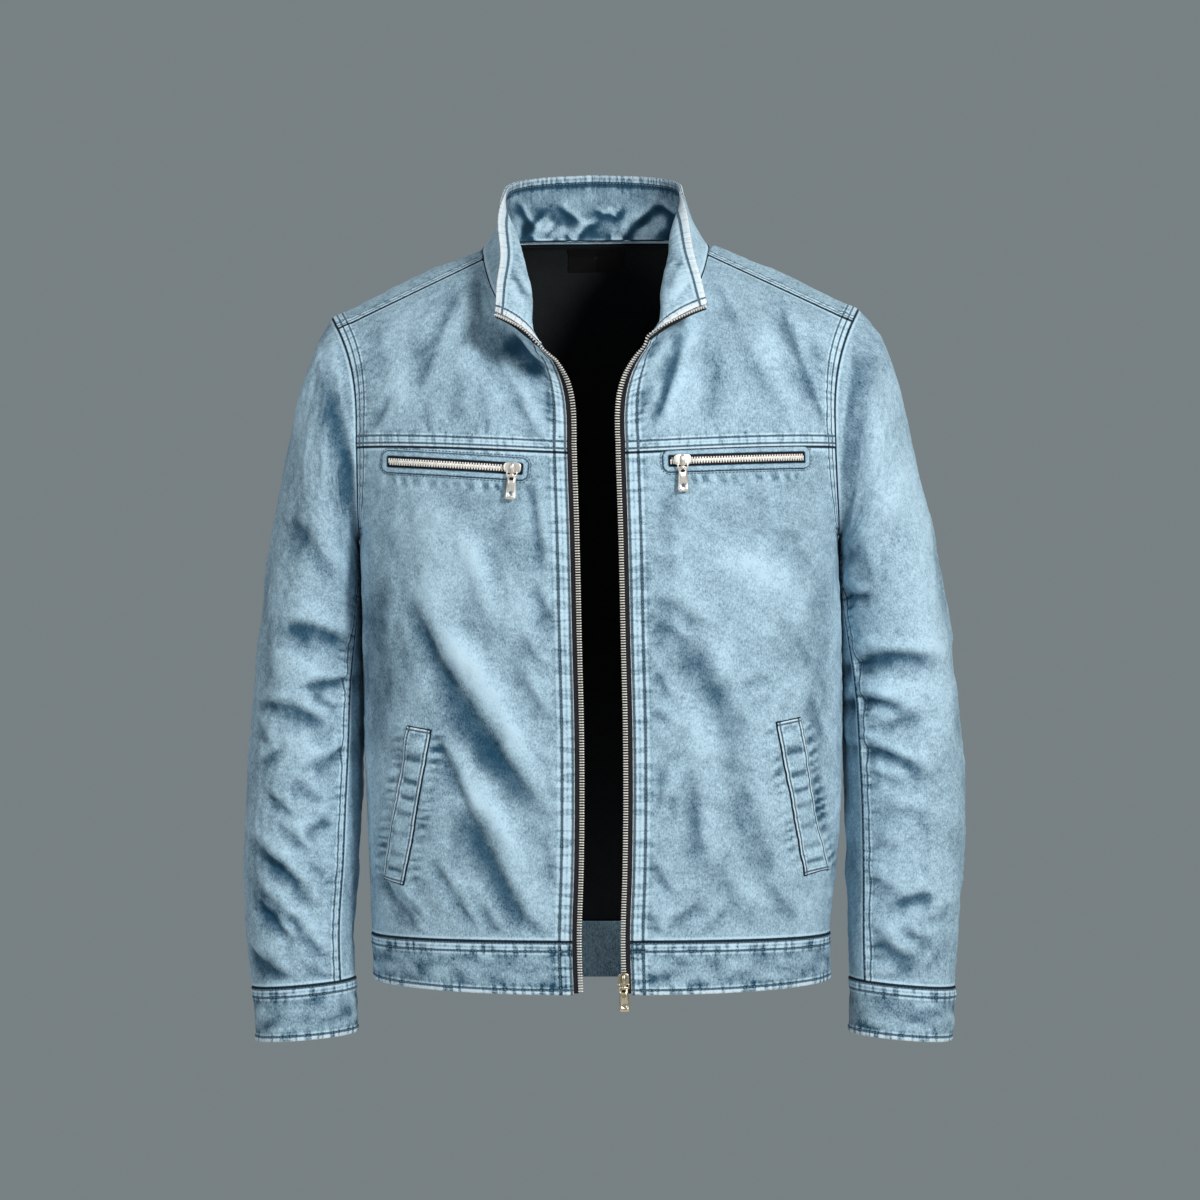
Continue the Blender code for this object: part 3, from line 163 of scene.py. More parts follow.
# ---- front zip and pockets ----
SEAM_GAP = 0.0003
TAPE_WIDTH = 0.0040
TEETH_WIDTH = 0.0038
EDGE_NEAR = 0.02
ZIP_FOOT = 0.97
ZIP_TOP = 0.95
TEETH_FOOT = 0.60
CHEST_POCKETS = {
    "right": {"side": -1, "inner": (-0.0655, -0.1975), "outer": (-0.1845, -0.1895), "slider": 0.075},
    "left": {"side": 1, "inner": (0.0580, -0.1905), "outer": (0.1775, -0.1858), "slider": 0.10},
}
SLOT_HALF = 0.0055
WELT_RIM = 0.0045
HAND_POCKETS = {
    "right": {"side": -1, "top": (-0.1560, -0.4200), "bottom": (-0.1800, -0.5560), "width": 0.0215},
    "left": {"side": 1, "top": (0.1625, -0.4130), "bottom": (0.1880, -0.5480), "width": 0.0225},
}

# ---- cloth ----
DENIM = 0.0018
PLY = 0.0015
PLY_GAP = 0.0006
BAND_THICK = 0.0032
BAND_PROUD = 0.0006
LINING_INSET = 0.0034
LINING_THICK = 0.0010
STEP = 0.0026
# The inner face keeps one row and column of the outer face's in so many.
COARSE = 3
# Grid places near an edge, close enough for its rounding and its stitched rows.
EDGE_PLACES = np.array([0, 0.0003, 0.0008, 0.0015, 0.0026, 0.0040, 0.0056, 0.0075, 0.0095, 0.0116])


# ---- small tools ----
def through(stations, values, at):
    """Smooth cubic through a table's rows at the stations, each slope taken from the neighbours."""
    stations, values, at = np.asarray(stations, float), np.asarray(values, float), np.asarray(at, float)
    slopes = np.gradient(values, stations, axis=0)
    i = np.clip(np.searchsorted(stations, at, side="right") - 1, 0, len(stations) - 2)
    h = stations[i + 1] - stations[i]
    t = (at - stations[i]) / h
    if values.ndim > 1:
        t, h = t[..., None], h[..., None]
    a, b = values[i], values[i + 1]
    da, db = slopes[i] * h, slopes[i + 1] * h
    return a + t * da + t * t * (3 * (b - a) - 2 * da - db) + t**3 * (da + db - 2 * (b - a))


def unit(v):
    """Vectors of length 1."""
    return v / np.maximum(np.linalg.norm(v, axis=-1, keepdims=True), 1e-12)


def signed_power(value, power):
    """The power of a value's size, with its sign: below 1 it squares a circle's corners."""
    return np.sign(value) * np.abs(value) ** power


def ease(value):
    """0 below 0, 1 above 1, smooth between."""
    t = np.clip(value, 0, 1)
    return t * t * (3 - 2 * t)


def bell(value):
    """1 at 0, falling smoothly to 0 on both sides."""
    return np.exp(-value * value)


# ---- forms, as the solids have them ----
def torso_size(z, column):
    """One column of the body's rings at a height."""
    return through(TORSO[:, 0], TORSO[:, TORSO_COLUMNS.index(column)], z)


def lean(points):
    """The whole jacket stands a few millimetres off its own middle, by height."""
    points = np.array(points, float)
    points[..., 0] += torso_size(points[..., 2], "centre_x")
    return points


ARMHOLE_MIDDLE_Z = (ARMHOLE_TOP_Z + ARMHOLE_PIT_Z) / 2
ARMHOLE_HALF_HEIGHT = (ARMHOLE_TOP_Z - ARMHOLE_PIT_Z) / 2


def armhole(side, turn):
    """Point of the armhole loop. turn is 0 at the shoulder tip, positive to the front, pi at the pit."""
    up, out = np.cos(turn), np.sin(turn)
    z = ARMHOLE_MIDDLE_Z + ARMHOLE_HALF_HEIGHT * up
    flare = SHOULDER_FLARE * np.maximum(up, 0) ** SHOULDER_FLARE_POWER
    x = ARMHOLE_X + flare + PIT_FLARE * np.maximum(-up, 0) ** 2
    reach = np.where(out > 0, ARMHOLE_FRONT, ARMHOLE_BACK)
    y = -reach * signed_power(out, ARMHOLE_POWER)
    return np.stack([side * x, y, z + side * SHOULDER_TILT * np.maximum(up, 0)], -1)


def armhole_turn(z):
    """Turn of the armhole loop at a height, from the shoulder tip."""
    return np.arccos(np.clip((z - ARMHOLE_MIDDLE_Z) / ARMHOLE_HALF_HEIGHT, -1, 1))


def armhole_normal(side, turn):
    """One direction for the walls on both sides of the armhole seam."""
    sideways, less_at_pit, round_loop = SEAM_MITRE
    flat = sideways - less_at_pit * np.maximum(-np.cos(turn), 0)
    return unit(np.stack([side * flat, -round_loop * np.sin(turn), round_loop * np.cos(turn)], -1))


CHEST_TURN = float(armhole_turn(CHEST_SEAM_Z))


def side_angle(z, face):
    """Angle round a ring at which its panel ends: the side line below the pit, then the armhole."""
    reach = -armhole(1, np.where(face == "front", 1, -1) * armhole_turn(z))[..., 1]
    depth = torso_size(z, face)
    at_armhole = np.arccos(np.clip((np.abs(reach) / depth) ** (1 / RING_POWER), 0, 1))
    return np.where(z > ARMHOLE_PIT_Z, at_armhole, math.pi / 2)


def ring_half_width(z, face):
    """Half width of a ring, so that above the pit it passes through the armhole loop."""
    at_armhole = np.abs(armhole(1, armhole_turn(z))[..., 0]) / np.sin(side_angle(z, face)) ** RING_POWER
    return np.where(z > ARMHOLE_PIT_Z, at_armhole, torso_size(z, "half_width"))


def ring(side, face, angle, z):
    """Ring point at an angle from the front or back middle (0) to the side (a quarter turn)."""
    x = ring_half_width(z, face) * signed_power(np.sin(angle), RING_POWER)
    y = torso_size(z, face) * signed_power(np.cos(angle), RING_POWER)
    return np.stack([side * x, np.where(face == "front", -y, y), z + 0 * x], -1)


def edge_angle(z):
    """Angle at which a ring is cut for the front opening."""
    return np.arcsin((HALF_GAP / ring_half_width(z, "front")) ** (1 / RING_POWER))


def seam_dip(share, z):
    """How far the front's levels sink towards the opening, none at the hem, most at the chest seam."""
    return CHEST_SEAM_DIP * (1 - share) ** 2 * np.clip((z - HEM_SEAM_Z) / (CHEST_SEAM_Z - HEM_SEAM_Z), 0, 1.2)


def lower_front(side, share, z):
    """Front below the chest seam. share is 0 at the opening and 1 at the side or armhole."""
    z = z - seam_dip(share, z)
    start = edge_angle(z)
    return ring(side, "front", start + (side_angle(z, "front") - start) * share, z)


def lower_back(side, share, z):
    """Back below the chest seam. share is 0 at the back middle."""
    return ring(side, "back", side_angle(z, "back") * share, z)


def collar_row(side, station, part):
    """Point of the collar's base, mid or top line, for stations 0 to 7."""
    first = COLLAR_COLUMNS.index(part + "_x")
    point = through(np.arange(len(COLLAR)), COLLAR[:, first:first + 3], station)
    shift = through(np.arange(len(COLLAR)), COLLAR[:, COLLAR_COLUMNS.index("shift")], station)
    height = side * NECK_TILT * np.clip(1 - station / BACK_STATION, 0, 1)
    moved = shift * {"base": 0.0, "mid": 0.5, "top": 1.0}[part]
    return np.stack([side * point[..., 0] + moved, point[..., 1], point[..., 2] + height], -1)


def shoulder_seam(side, share):
    """The seam that lies just in front of the shoulder line, from the collar to the armhole."""
    start = collar_row(side, np.full_like(share, SEAM_STATION), "base")
    return start + (armhole(side, np.full_like(share, SHOULDER_SEAM_TURN)) - start) * share[..., None]


def bent(low, top, bend, rise):
    """Columns that leave low upright and reach top, along a part of an ellipse that turns by bend."""
    angle = bend * rise
    up = signed_power(np.sin(angle), BEND_POWER) / signed_power(np.sin(bend), BEND_POWER)
    over = (1 - signed_power(np.cos(angle), BEND_POWER)) / (1 - signed_power(np.cos(bend), BEND_POWER))
    return low + (top - low) * np.stack([over, over, up], -1)


def armhole_turns(face, rise):
    """Place on the armhole loop of the last column of the front yoke or the upper back."""
    start = CHEST_TURN if face == "front" else -CHEST_TURN
    return start + (SHOULDER_SEAM_TURN - start) * rise


def upper(side, face, share, rise):
    """Cloth above the chest seam. rise is 0 at that seam and 1 at the neckline or shoulder seam."""
    share, rise = np.broadcast_arrays(np.asarray(share, float), np.asarray(rise, float))
    neck_share = NECK_SHARES[face]
    neck = np.clip(share / neck_share, 0, 1)
    across = np.clip((share - neck_share) / (1 - neck_share), 0, 1)
    chest, ones = np.full_like(share, CHEST_SEAM_Z), np.ones_like(share)
    if face == "front":
        lower, station = lower_front, SEAM_STATION * neck
        seam_bend = FRONT_SEAM_BEND
        bend = FRONT_NECK_BEND + (FRONT_SEAM_BEND - FRONT_NECK_BEND) * neck
    else:
        lower, station = lower_back, BACK_STATION - (BACK_STATION - SEAM_STATION) * neck
        seam_bend = BACK_SEAM_BEND
        bend = BACK_NECK_BEND + (BACK_SEAM_BEND - BACK_NECK_BEND) * ease(neck) ** BACK_BEND_POWER
        corner = bell((share - neck_share + NECK_CORNER_IN) / NECK_CORNER_REACH)
        bend = bend + SHOULDER_CROWN * np.sin(math.pi * across) ** 2 - NECK_CORNER_EASE * corner
    on_neck = collar_row(side, station, "base")
    top = np.where((share <= neck_share)[..., None], on_neck, shoulder_seam(side, across))
    point = bent(lower(side, share, chest), top, bend, rise)
    if face == "front":
        point = point + edge_roll(side, rise) * (np.clip(1 - share / EDGE_ROLL_SHARE, 0, 1) ** 2)[..., None]
    last = bent(lower(side, ones, chest), shoulder_seam(side, ones), np.full_like(rise, seam_bend), rise)
    pull = armhole(side, armhole_turns(face, rise)) - last
    return point + pull * (across**2)[..., None]


def edge_roll(side, rise):
    """How far the front edge of the yoke stands off its plain column, to follow the edge table."""
    none = np.zeros_like(rise)
    low = lower_front(side, none, none + CHEST_SEAM_Z)
    edge = bent(low, collar_row(side, none, "base"), none + FRONT_NECK_BEND, rise)
    wanted = through(EDGE[:, 0], EDGE[:, 1:], edge[..., 2])
    fade = np.clip(rise / EDGE_ROLL_FADES[0], 0, 1) * np.clip((1 - rise) / EDGE_ROLL_FADES[1], 0, 1)
    shift = np.stack([side * wanted[..., 0] - edge[..., 0], wanted[..., 1] - edge[..., 1], none], -1)
    return shift * fade[..., None]


def sleeve(side, run, turn):
    """Sleeve point. run is 0 on the armhole loop and then counts the table's rings."""
    run, turn = np.broadcast_arrays(np.asarray(run, float), np.asarray(turn, float))
    rings = through(np.arange(1, CUFF_END + 1), SLEEVE, np.maximum(run, 1))
    outer_x, outer_z, inner_x, inner_z, half_depth, centre_y = np.moveaxis(rings, -1, 0)
    shift_top, shift_end = SLEEVE_SHIFTS
    outer_x = outer_x + side * (shift_top + (shift_end - shift_top) * ease((run - SHIFT_FROM) / SHIFT_OVER))
    up, out = signed_power(np.cos(turn), SLEEVE_POWER), signed_power(np.sin(turn), SLEEVE_POWER)
    x = (outer_x + inner_x) / 2 + (outer_x - inner_x) / 2 * up
    z = (outer_z + inner_z) / 2 + (outer_z - inner_z) / 2 * up
    tilt = side * SHOULDER_TILT * np.clip(1 - run / SHOULDER_TILT_ENDS, 0, 1)
    tube = np.stack([side * x, centre_y - half_depth * out, z + tilt], -1)
    start = armhole(side, turn)
    return start + (tube - start) * np.clip(run, 0, 1)[..., None]


def collar(side, station, height):
    """Stand collar: a parabola across, from the neckline through the mid line to the top edge."""
    base, mid, top = (collar_row(side, station, part) for part in ("base", "mid", "top"))
    pull = 2 * mid - (base + top) / 2
    h = height[..., None]
    return base * (1 - h) ** 2 + 2 * pull * h * (1 - h) + top * h**2


def collar_point(along, height):
    """Collar over its full length: along runs from -7, the right front tip, to 7, the left one."""
    station = BACK_STATION - np.abs(along)
    return lean(np.where((along > 0)[..., None], collar(1, station, height), collar(-1, station, height)))


def hem_level(share, face):
    """Bottom edge: a little higher at the sides, a little lower at the back."""
    turn = share * math.pi / 2
    level = HEM_FRONT_Z + HEM_SIDE_RISE * np.sin(turn) ** 2
    return level - (HEM_BACK_DROP * np.cos(turn) ** 2 if face == "back" else 0)


def band_point(share, down):
    """Hem band. share runs from the right front edge, -2, round the back, 0, to the left, 2."""
    share, down = np.broadcast_arrays(share, down)
    side = np.where(share < 0, -1, 1)
    away = np.abs(share)
    back, front = np.minimum(away, 1), 2 - np.maximum(away, 1)
    z_back = HEM_SEAM_Z + (hem_level(back, "back") - HEM_SEAM_Z) * down
    z_front = HEM_SEAM_Z + (hem_level(front, "front") - HEM_SEAM_Z) * down
    start = edge_angle(z_front)
    on_back = ring(side, "back", back * math.pi / 2, z_back)
    on_front = ring(side, "front", start + (math.pi / 2 - start) * front, z_front)
    return lean(np.where((away <= 1)[..., None], on_back, on_front))


def body_level(climb):
    """Height of a body row: climb is 0 at the hem seam, 1 at the pit and 2 at the chest seam.

    Above the pit the rows follow even turns of the armhole.
    """
    turn = math.pi + (CHEST_TURN - math.pi) * np.clip(climb - 1, 0, 1)
    above = ARMHOLE_MIDDLE_Z + ARMHOLE_HALF_HEIGHT * np.cos(turn)
    return np.where(climb > 1, above, HEM_SEAM_Z + (ARMHOLE_PIT_Z - HEM_SEAM_Z) * climb)


def front_point(side, climb, share):
    """Front below the chest seam, by its own row and column."""
    return lean(lower_front(side, share, body_level(climb)))


def back_point(climb, share):
    """Back over its full width: share is -1 to 1, and climb goes on from 2 to 3 over the shoulders."""
    climb, share = np.broadcast_arrays(climb, share)
    level, rise = body_level(climb), np.clip(climb - 2, 0, 1)
    found = []
    for side in (-1, 1):
        lower, above = lower_back(side, np.abs(share), level), upper(side, "back", np.abs(share), rise)
        found.append(np.where((climb > 2)[..., None], above, lower))
    return lean(np.where((share > 0)[..., None], found[1], found[0]))


def sleeve_turn(run, across, part):
    """Turn of a sleeve's column: across is 0 to 1 over the top sleeve or over the under sleeve."""
    if part == "top":
        first, last = (-CHEST_TURN, math.pi), (FOREARM_BACK_SEAM - 2 * math.pi, FOREARM_FRONT_SEAM)
    else:
        first, last = (math.pi, 2 * math.pi - CHEST_TURN), (FOREARM_FRONT_SEAM, FOREARM_BACK_SEAM)
    turned = ease((run - SEAM_TURNS_FROM) / SEAM_TURNS_OVER)
    at_armhole, on_forearm = (a + (b - a) * across for a, b in (first, last))
    return at_armhole * (1 - turned) + on_forearm * turned


# ---- folds, crumples and puckers ----
# Lines of creases in millimetres. columns: x0, z0, x1, z1, bow to the left of the way, width, depth
# (below 0 a trough). A lower swell lies beside each, on the left of the way, or on the right where the
# width is below 0.
FRONT_CREASES = {
    "right": (
        (-172, -300, -50, -492, -6, 13, -5.0), (-135, -318, -60, -452, 0, 15, 1.7),
        (-142, -428, -112, -490, 0, 6, -1.8), (-120, -480, -70, -582, 0, 13, -4.0),
        (-118, -445, -72, -530, 0, 11, 1.5), (-60, -198, -49, -288, 0, 4, -1.8),
        (-57, -296, -41, -334, 0, 6, -1.9), (-68, -343, -46, -374, 0, 5, -1.0),
        (-72, -370, -44, -414, 0, 5, -1.1), (-47, -452, -41, -486, 0, 4, -1.3),
        (-48, -513, -40, -554, 0, 5, -1.6), (-62, -436, -47, -452, 0, 4, -0.9),
        (-144, -538, -107, -594, 0, 5, -1.6), (-103, -573, -87, -600, 0, 5, -1.4),
        (-196, -546, -158, -600, 0, 6, -1.8), (-180, -556, -150, -592, 0, 4, -1.1),
        (-76, -573, -48, -600, 0, 6, -1.3), (-198, -300, -187, -425, 0, 14, -1.6),
        (-186, -318, -164, -402, 4, 13, -1.2), (-132, -252, -100, -330, 0, 8, -0.9),
        (-158, -222, -92, -300, 0, 24, 1.8), (-98, -262, -80, -315, 2, 6, -0.7),
        (-170, -225, -160, -290, 0, 9, -0.6)),
    "left": (
        (95, -268, 172, -302, 6, 20, 2.0), (46, -310, 92, -337, 3, 9, -2.0),
        (42, -328, 82, -348, 0, 7, -1.2), (48, -370, 61, -396, 0, 4, -1.7),
        (43, -403, 63, -417, 0, 4, -1.3), (84, -352, 113, -394, 0, 9, -1.4),
        (121, -387, 151, -378, 5, 5, -1.0), (130, -402, 152, -394, 3, 4, -0.8),
        (80, -468, 87, -537, 0, 8, -2.4), (71, -436, 81, -472, 0, 8, -0.9),
        (57, -453, 50, -490, 0, 4, -1.5), (61, -478, 65, -502, 0, 4, -1.0),
        (43, -533, 63, -564, 0, 5, -1.5), (57, -594, 86, -570, 0, 5, -1.5),
        (88, -600, 113, -573, 0, 5, -1.1), (41, -578, 53, -600, 0, 5, -1.7),
        (185, -396, 197, -434, 0, 5, -1.5), (190, -458, 200, -522, 0, 7, -1.3),
        (148, -558, 176, -592, 0, 6, -1.2), (60, -338, 132, -432, 0, 14, -1.0),
        (108, -428, 152, -562, 0, 14, -1.0), (100, -540, 136, -592, 0, 8, -0.9),
        (199, -290, 197, -400, 0, 9, -1.1), (62, -215, 58, -300, 0, 10, -0.8),
        (150, -318, 190, -372, 0, 12, -0.8), (70, -395, 100, -450, 0, 14, 1.1)),
}
# The deepest creases beside the collar's wings, on both yokes, paint the wings' shadows.
YOKE_CREASES = {
    "right": (
        (-98, -62, -88, -118, 0, 13, -1.3), (-80, -78, -47, -114, 0, 6, -10.0),
        (-84, -84, -60, -118, 0, 8, -2.4), (-76, -128, -54, -172, 0, 5, -2.0),
        (-72, -116, -48, -158, 0, 7, 1.4), (-46, -112, -40, -168, 0, 4, -2.2),
        (-124, -38, -140, -78, 0, 6, -1.5), (-138, -72, -158, -128, 0, 7, -1.5),
        (-106, -22, -103, -72, 0, 7, -1.6), (-181, -132, -198, -163, 0, 4, -1.9),
        (-151, -138, -148, -166, 0, 4, -1.1), (-196, -68, -189, -118, 0, 7, -1.1),
        (-172, -70, -176, -150, 0, 12, 1.0), (-128, -100, -120, -160, 0, 10, -0.9),
        (-104, -120, -96, -168, 0, 6, -1.1), (-60, -92, -38, -120, 0, 4, 1.2)),
    "left": (
        (72, -76, 65, -108, 0, 5, -3.6), (66, -100, 46, -158, 2, 5, -6.0),
        (53, -86, 42, -104, 0, 5, -2.6), (46, -124, 30, -160, 0, 5, -2.2),
        (101, -30, 119, -68, 0, 5, -1.4), (126, -80, 151, -152, 0, 8, -1.1),
        (160, -54, 174, -100, 0, 6, -2.4), (174, -98, 197, -158, 0, 5, -2.6),
        (148, -118, 162, -158, 0, 5, -0.9), (84, -60, 80, -150, 0, 12, 1.0),
        (188, -80, 194, -120, 0, 7, -0.9), (104, -90, 98, -150, 0, 10, -0.8),
        (140, -60, 156, -110, 0, 9, 1.0)),
}
BACK_CREASES = (
    (-178, -285, -70, -430, 0, 13, -2.6), (-150, -270, -60, -380, 0, 14, 1.4),
    (176, -280, 84, -415, 0, -12, -2.4), (190, -330, 110, -440, 0, -9, -1.6),
    (-196, -330, -120, -440, 0, 8, -1.5), (-165, -95, -120, -215, 0, 9, -1.7),
    (158, -90, 124, -220, 0, -9, -1.7), (-110, -60, -96, -140, 0, 7, -1.2),
    (104, -58, 90, -150, 0, -7, -1.2), (-40, -30, -48, -120, 0, 7, -1.0),
    (36, -28, 44, -128, 0, 7, -1.0), (-196, -470, -96, -560, 0, 11, -2.2),
    (192, -452, 104, -560, 0, -11, -2.2), (-24, -330, 30, -470, 0, 14, -1.5),
    (60, -470, -10, -570, 0, 12, -1.5), (-150, -540, -112, -600, 0, 6, -1.5),
    (146, -548, 112, -600, 0, -6, -1.5), (-70, -560, -48, -600, 0, 5, -1.3),
    (70, -566, 46, -600, 0, -5, -1.3), (-5, -560, 8, -600, 0, 5, -1.0),
    (-200, -560, -176, -600, 0, 6, -1.5), (200, -556, 178, -600, 0, -6, -1.5),
    (-90, -200, -40, -290, 0, 12, -1.0), (110, -180, 50, -290, 0, -12, -1.0),
    (0, -180, -8, -300, 0, 16, 1.0), (-200, -200, -192, -260, 0, 7, -1.6),
    (200, -196, 192, -262, 0, 7, -1.6))
SLEEVE_CREASES = {
    "right": (
        (-232, -120, -209, -242, 0, 10, -4.6), (-235, -80, -216, -188, 0, 5, 1.6),
        (-276, -236, -231, -294, 2, 10, -2.0), (-280, -333, -221, -349, 4, 9, -3.8),
        (-263, -387, -213, -378, 0, 5, -4.4), (-304, -401, -239, -421, 5, 7, -3.2),
        (-304, -417, -293, -437, 0, 5, -1.7), (-273, -467, -243, -488, 0, 6, -1.6),
        (-257, -458, -221, -437, -2, 6, -3.2), (-313, -517, -273, -548, 0, 7, -2.0),
        (-304, -561, -262, -593, -3, 7, -3.4), (-313, -616, -273, -641, -3, 8, -3.6),
        (-273, -557, -249, -579, 0, 6, -1.1), (-257, -631, -235, -643, 0, 5, -1.5),
        (-256, -498, -234, -511, 0, 7, -1.0), (-252, -543, -234, -556, 0, 6, -1.1),
        (-296, -352, -250, -372, 0, 12, 1.4), (-280, -430, -240, -450, 0, 10, 1.0),
        (-262, -110, -250, -200, 0, 12, 0.9), (-300, -300, -292, -380, 0, 8, -1.0),
        (-295, -479, -270, -499, 0, 5, -2.2), (-300, -531, -259, -562, 0, 6, -3.0),
        (-285, -505, -255, -530, 0, 5, -2.0), (-306, -572, -270, -608, 0, 6, -3.4),
        (-270, -590, -240, -625, 0, 5, -2.6), (-290, -655, -262, -668, 0, 5, -2.6),
        (-252, -393, -230, -407, 0, 4, -2.0), (-302, -455, -280, -440, 0, 5, -2.2),
        (-262, -520, -238, -500, 0, 5, -2.0)),
    "left": (
        (236, -84, 213, -240, 0, 16, -1.8), (220, -82, 206, -204, 0, 4, 1.4),
        (211, -374, 303, -367, 12, 7, -4.6), (211, -305, 238, -308, 0, 7, -3.2),
        (211, -405, 269, -409, 9, 6, -4.4), (235, -425, 286, -409, 0, 6, -1.5),
        (221, -439, 286, -463, 5, 6, -4.2), (237, -463, 263, -470, 0, 5, -1.8),
        (237, -494, 294, -501, 3, 8, -1.2), (235, -555, 263, -568, 0, 7, -1.8),
        (257, -578, 294, -571, 4, 6, -3.6), (263, -598, 294, -614, 0, 6, -3.0),
        (239, -605, 280, -629, -2, 9, -3.6), (283, -595, 314, -577, 0, 6, -1.3),
        (285, -634, 302, -617, 0, 5, -1.0), (239, -643, 258, -640, 0, 5, -1.6),
        (239, -519, 263, -531, 0, 8, -0.9), (240, -382, 290, -388, 0, 10, 1.4),
        (262, -130, 290, -260, 0, 14, 1.0), (226, -260, 236, -296, 0, 8, -1.2),
        (283, -190, 306, -420, 0, 16, 1.6)),
}
COLLAR_CREASES = {
    "back": (
        (-74, 48, -60, 24, 0, 2.8, -2.0), (-50, 43, -67, 21, 0, 2.8, -1.8),
        (-65, 20, -53, 9, 0, 3, -1.8), (-37, 47, -19, 33, 0, 3, -1.6), (-21, 15, -1, 33, 3, 3.4, -2.0),
        (1, 38, 15, 36, 3, 2.8, -1.6), (13, 36, 21, 46, 0, 2.8, -1.6), (8, 23, 10, 7, 0, 3, -1.9),
        (19, 11, 53, 47, 3, 4, -2.4), (26, 9, 20, 23, 0, 2.6, -1.3), (49, 47, 67, 35, 2, 3, -2.0),
        (-49, 21, -39, 31, 0, 3, -1.4), (-31, 23, -24, 11, 0, 3, -1.5), (40, 7, 61, 27, 0, 8, -1.2),
        (-44, 12, -38, 20, 0, 3, -1.4), (-5, 44, 4, 40, 0, 3, -1.0), (-52, 32, -28, 24, 0, 6, 1.2),
        (-12, 9, 6, 16, 0, 5, 1.2), (28, 20, 45, 31, 0, 5, 1.2), (58, 8, 67, 36, 0, 7, -1.4),
        (-72, 8, -66, 30, 0, 5, -1.2)),
    "wings": (
        (-80, -18, -60, -52, 0, 4, -1.5), (-74, -4, -64, -34, 0, 5, -1.0),
        (-77, -34, -66, -56, 0, 4, 1.0), (74, -8, 57, -42, 0, 5, -1.5), (66, -4, 56, -24, 0, 4, -1.0),
        (80, -30, 60, -52, 0, 4, 1.0)),
}
# How much painted shade darkens a fold's colour, and wear and painted highlight pale it, for each metre that
# it sinks or rises.
CREASE_SHADING = 205
BACK_FLATTER = 0.65
# A table's depths are drawn together, so that a shallow crease still shows.
SHALLOW_SHOWS = 1.6
DEPTH_POWER = 0.7
# A crease's cross-section, in its widths: steep on the side of its swell, gentle on the other.
STEEP_SIDE, GENTLE_SIDE = 0.55, 1.45
SWELL_SHARE, SWELL_PLACE, SWELL_REACH = 0.42, 1.5, 0.95


def creases(px, pz, table):
    """Sum of soft troughs and ridges along bowed lines.

    Each is a bell across its line, with a lower swell of the other sign beside it, and fades at its ends.
    """
    total = 0 * px
    for x0, z0, x1, z1, bow, width, depth in np.array(table) / 1000:
        depth = math.copysign(SHALLOW_SHOWS * (abs(depth) * 1000) ** DEPTH_POWER / 1000, depth)
        dx, dz = x1 - x0, z1 - z0
        length = math.hypot(dx, dz)
        along = ((px - x0) * dx + (pz - z0) * dz) / length**2
        near = np.clip(along, 0, 1)
        across = ((pz - z0) * dx - (px - x0) * dz) / length - bow * 4 * near * (1 - near)
        across = across / width * (1 + 0.25 * np.sin(9 * along + 40 * x0))
        swelling = np.sqrt(np.clip(1.5 * np.sin(math.pi * near), 0.12, 1))
        ends = bell((along - near) * length / abs(width)) * swelling
        trough = bell(across / np.where(across > 0, STEEP_SIDE, GENTLE_SIDE))
        total = total + depth * ends * (trough - SWELL_SHARE * bell((across - SWELL_PLACE) / SWELL_REACH))
    return total


# A whole turn of a wave's phase.
TURN = 6.28
PUCKERS_FADE = 0.006


def puckers(px, pz, start, end, pitch, width, seed):
    """Short puckers across a line from start to end in x and z.

    They are -1 in the middle of each narrow trough and a little over 0 between.
    """
    way = np.subtract(end, start)
    length = math.hypot(*way)
    along = ((px - start[0]) * way[0] + (pz - start[1]) * way[1]) / length
    across = ((pz - start[1]) * way[0] - (px - start[0]) * way[1]) / length
    ends = ease(along / PUCKERS_FADE) * ease((length - along) / PUCKERS_FADE)
    return ends * bell(across / width) * np.clip(-1.1 * ruffle(along + 0.3 * across, pitch, seed), -1, 0.35)


def crumple(u, v, seed, shortest, longest, waves=16):
    """Uneven softness of cloth, about -1 to 1.

    It is a sum of plane waves of mixed directions and lengths, each bent by a slower one.
    """
    random = np.random.default_rng(seed)
    total = 0 * u
    for _ in range(waves):
        angle, length = random.uniform(0, math.pi), random.uniform(shortest, longest)
        phase = random.uniform(0, TURN)
        way = (u * math.cos(angle) + v * math.sin(angle)) / length
        cross = (v * math.cos(angle) - u * math.sin(angle)) / length
        total = total + np.sin(TURN * way + phase + 1.3 * np.sin(2.1 * cross + phase))
    return total / math.sqrt(waves)


def slanted(u, v, seed):
    """Short wrinkles of a stitched band, drawn out along it and swaying to both sides."""
    sway = 0.010 * np.sin(u / 0.045 + seed)
    return crumple(0.50 * (u + sway + 0.5 * v), v + 0.25 * sway, seed, 0.011, 0.030, 24)


def ruffle(along, pitch, seed):
    """Uneven small waves along a stitched row, -1 to 1, with troughs narrower than the crests."""
    random = np.random.default_rng(seed)
    a, b, c = random.uniform(0, TURN, 3)
    sway = 1.1 * np.sin(TURN * along / (4.3 * pitch) + a)
    phase = TURN * along / pitch + sway + 0.8 * np.sin(TURN * along / (9.7 * pitch) + b)
    strength = 0.65 + 0.35 * np.sin(TURN * along / (6.1 * pitch) + c)
    return strength * (np.sin(phase) + 0.35 * np.cos(2 * phase))


# ---- cloth as a grid ----
def spaced(length, step):
    """Grid places from 0 to 1 along that length: a step apart, and closer near both ends."""
    inner = length - 2 * EDGE_PLACES[-1]
    if inner < step:
        return np.linspace(0, 1, max(int(length / step), 4) + 1)
    count = max(int(round(inner / step)), 1)
    middle = np.linspace(EDGE_PLACES[-1], length - EDGE_PLACES[-1], count + 1)[1:-1]
    return np.concatenate([EDGE_PLACES, middle, length - EDGE_PLACES[::-1]]) / length


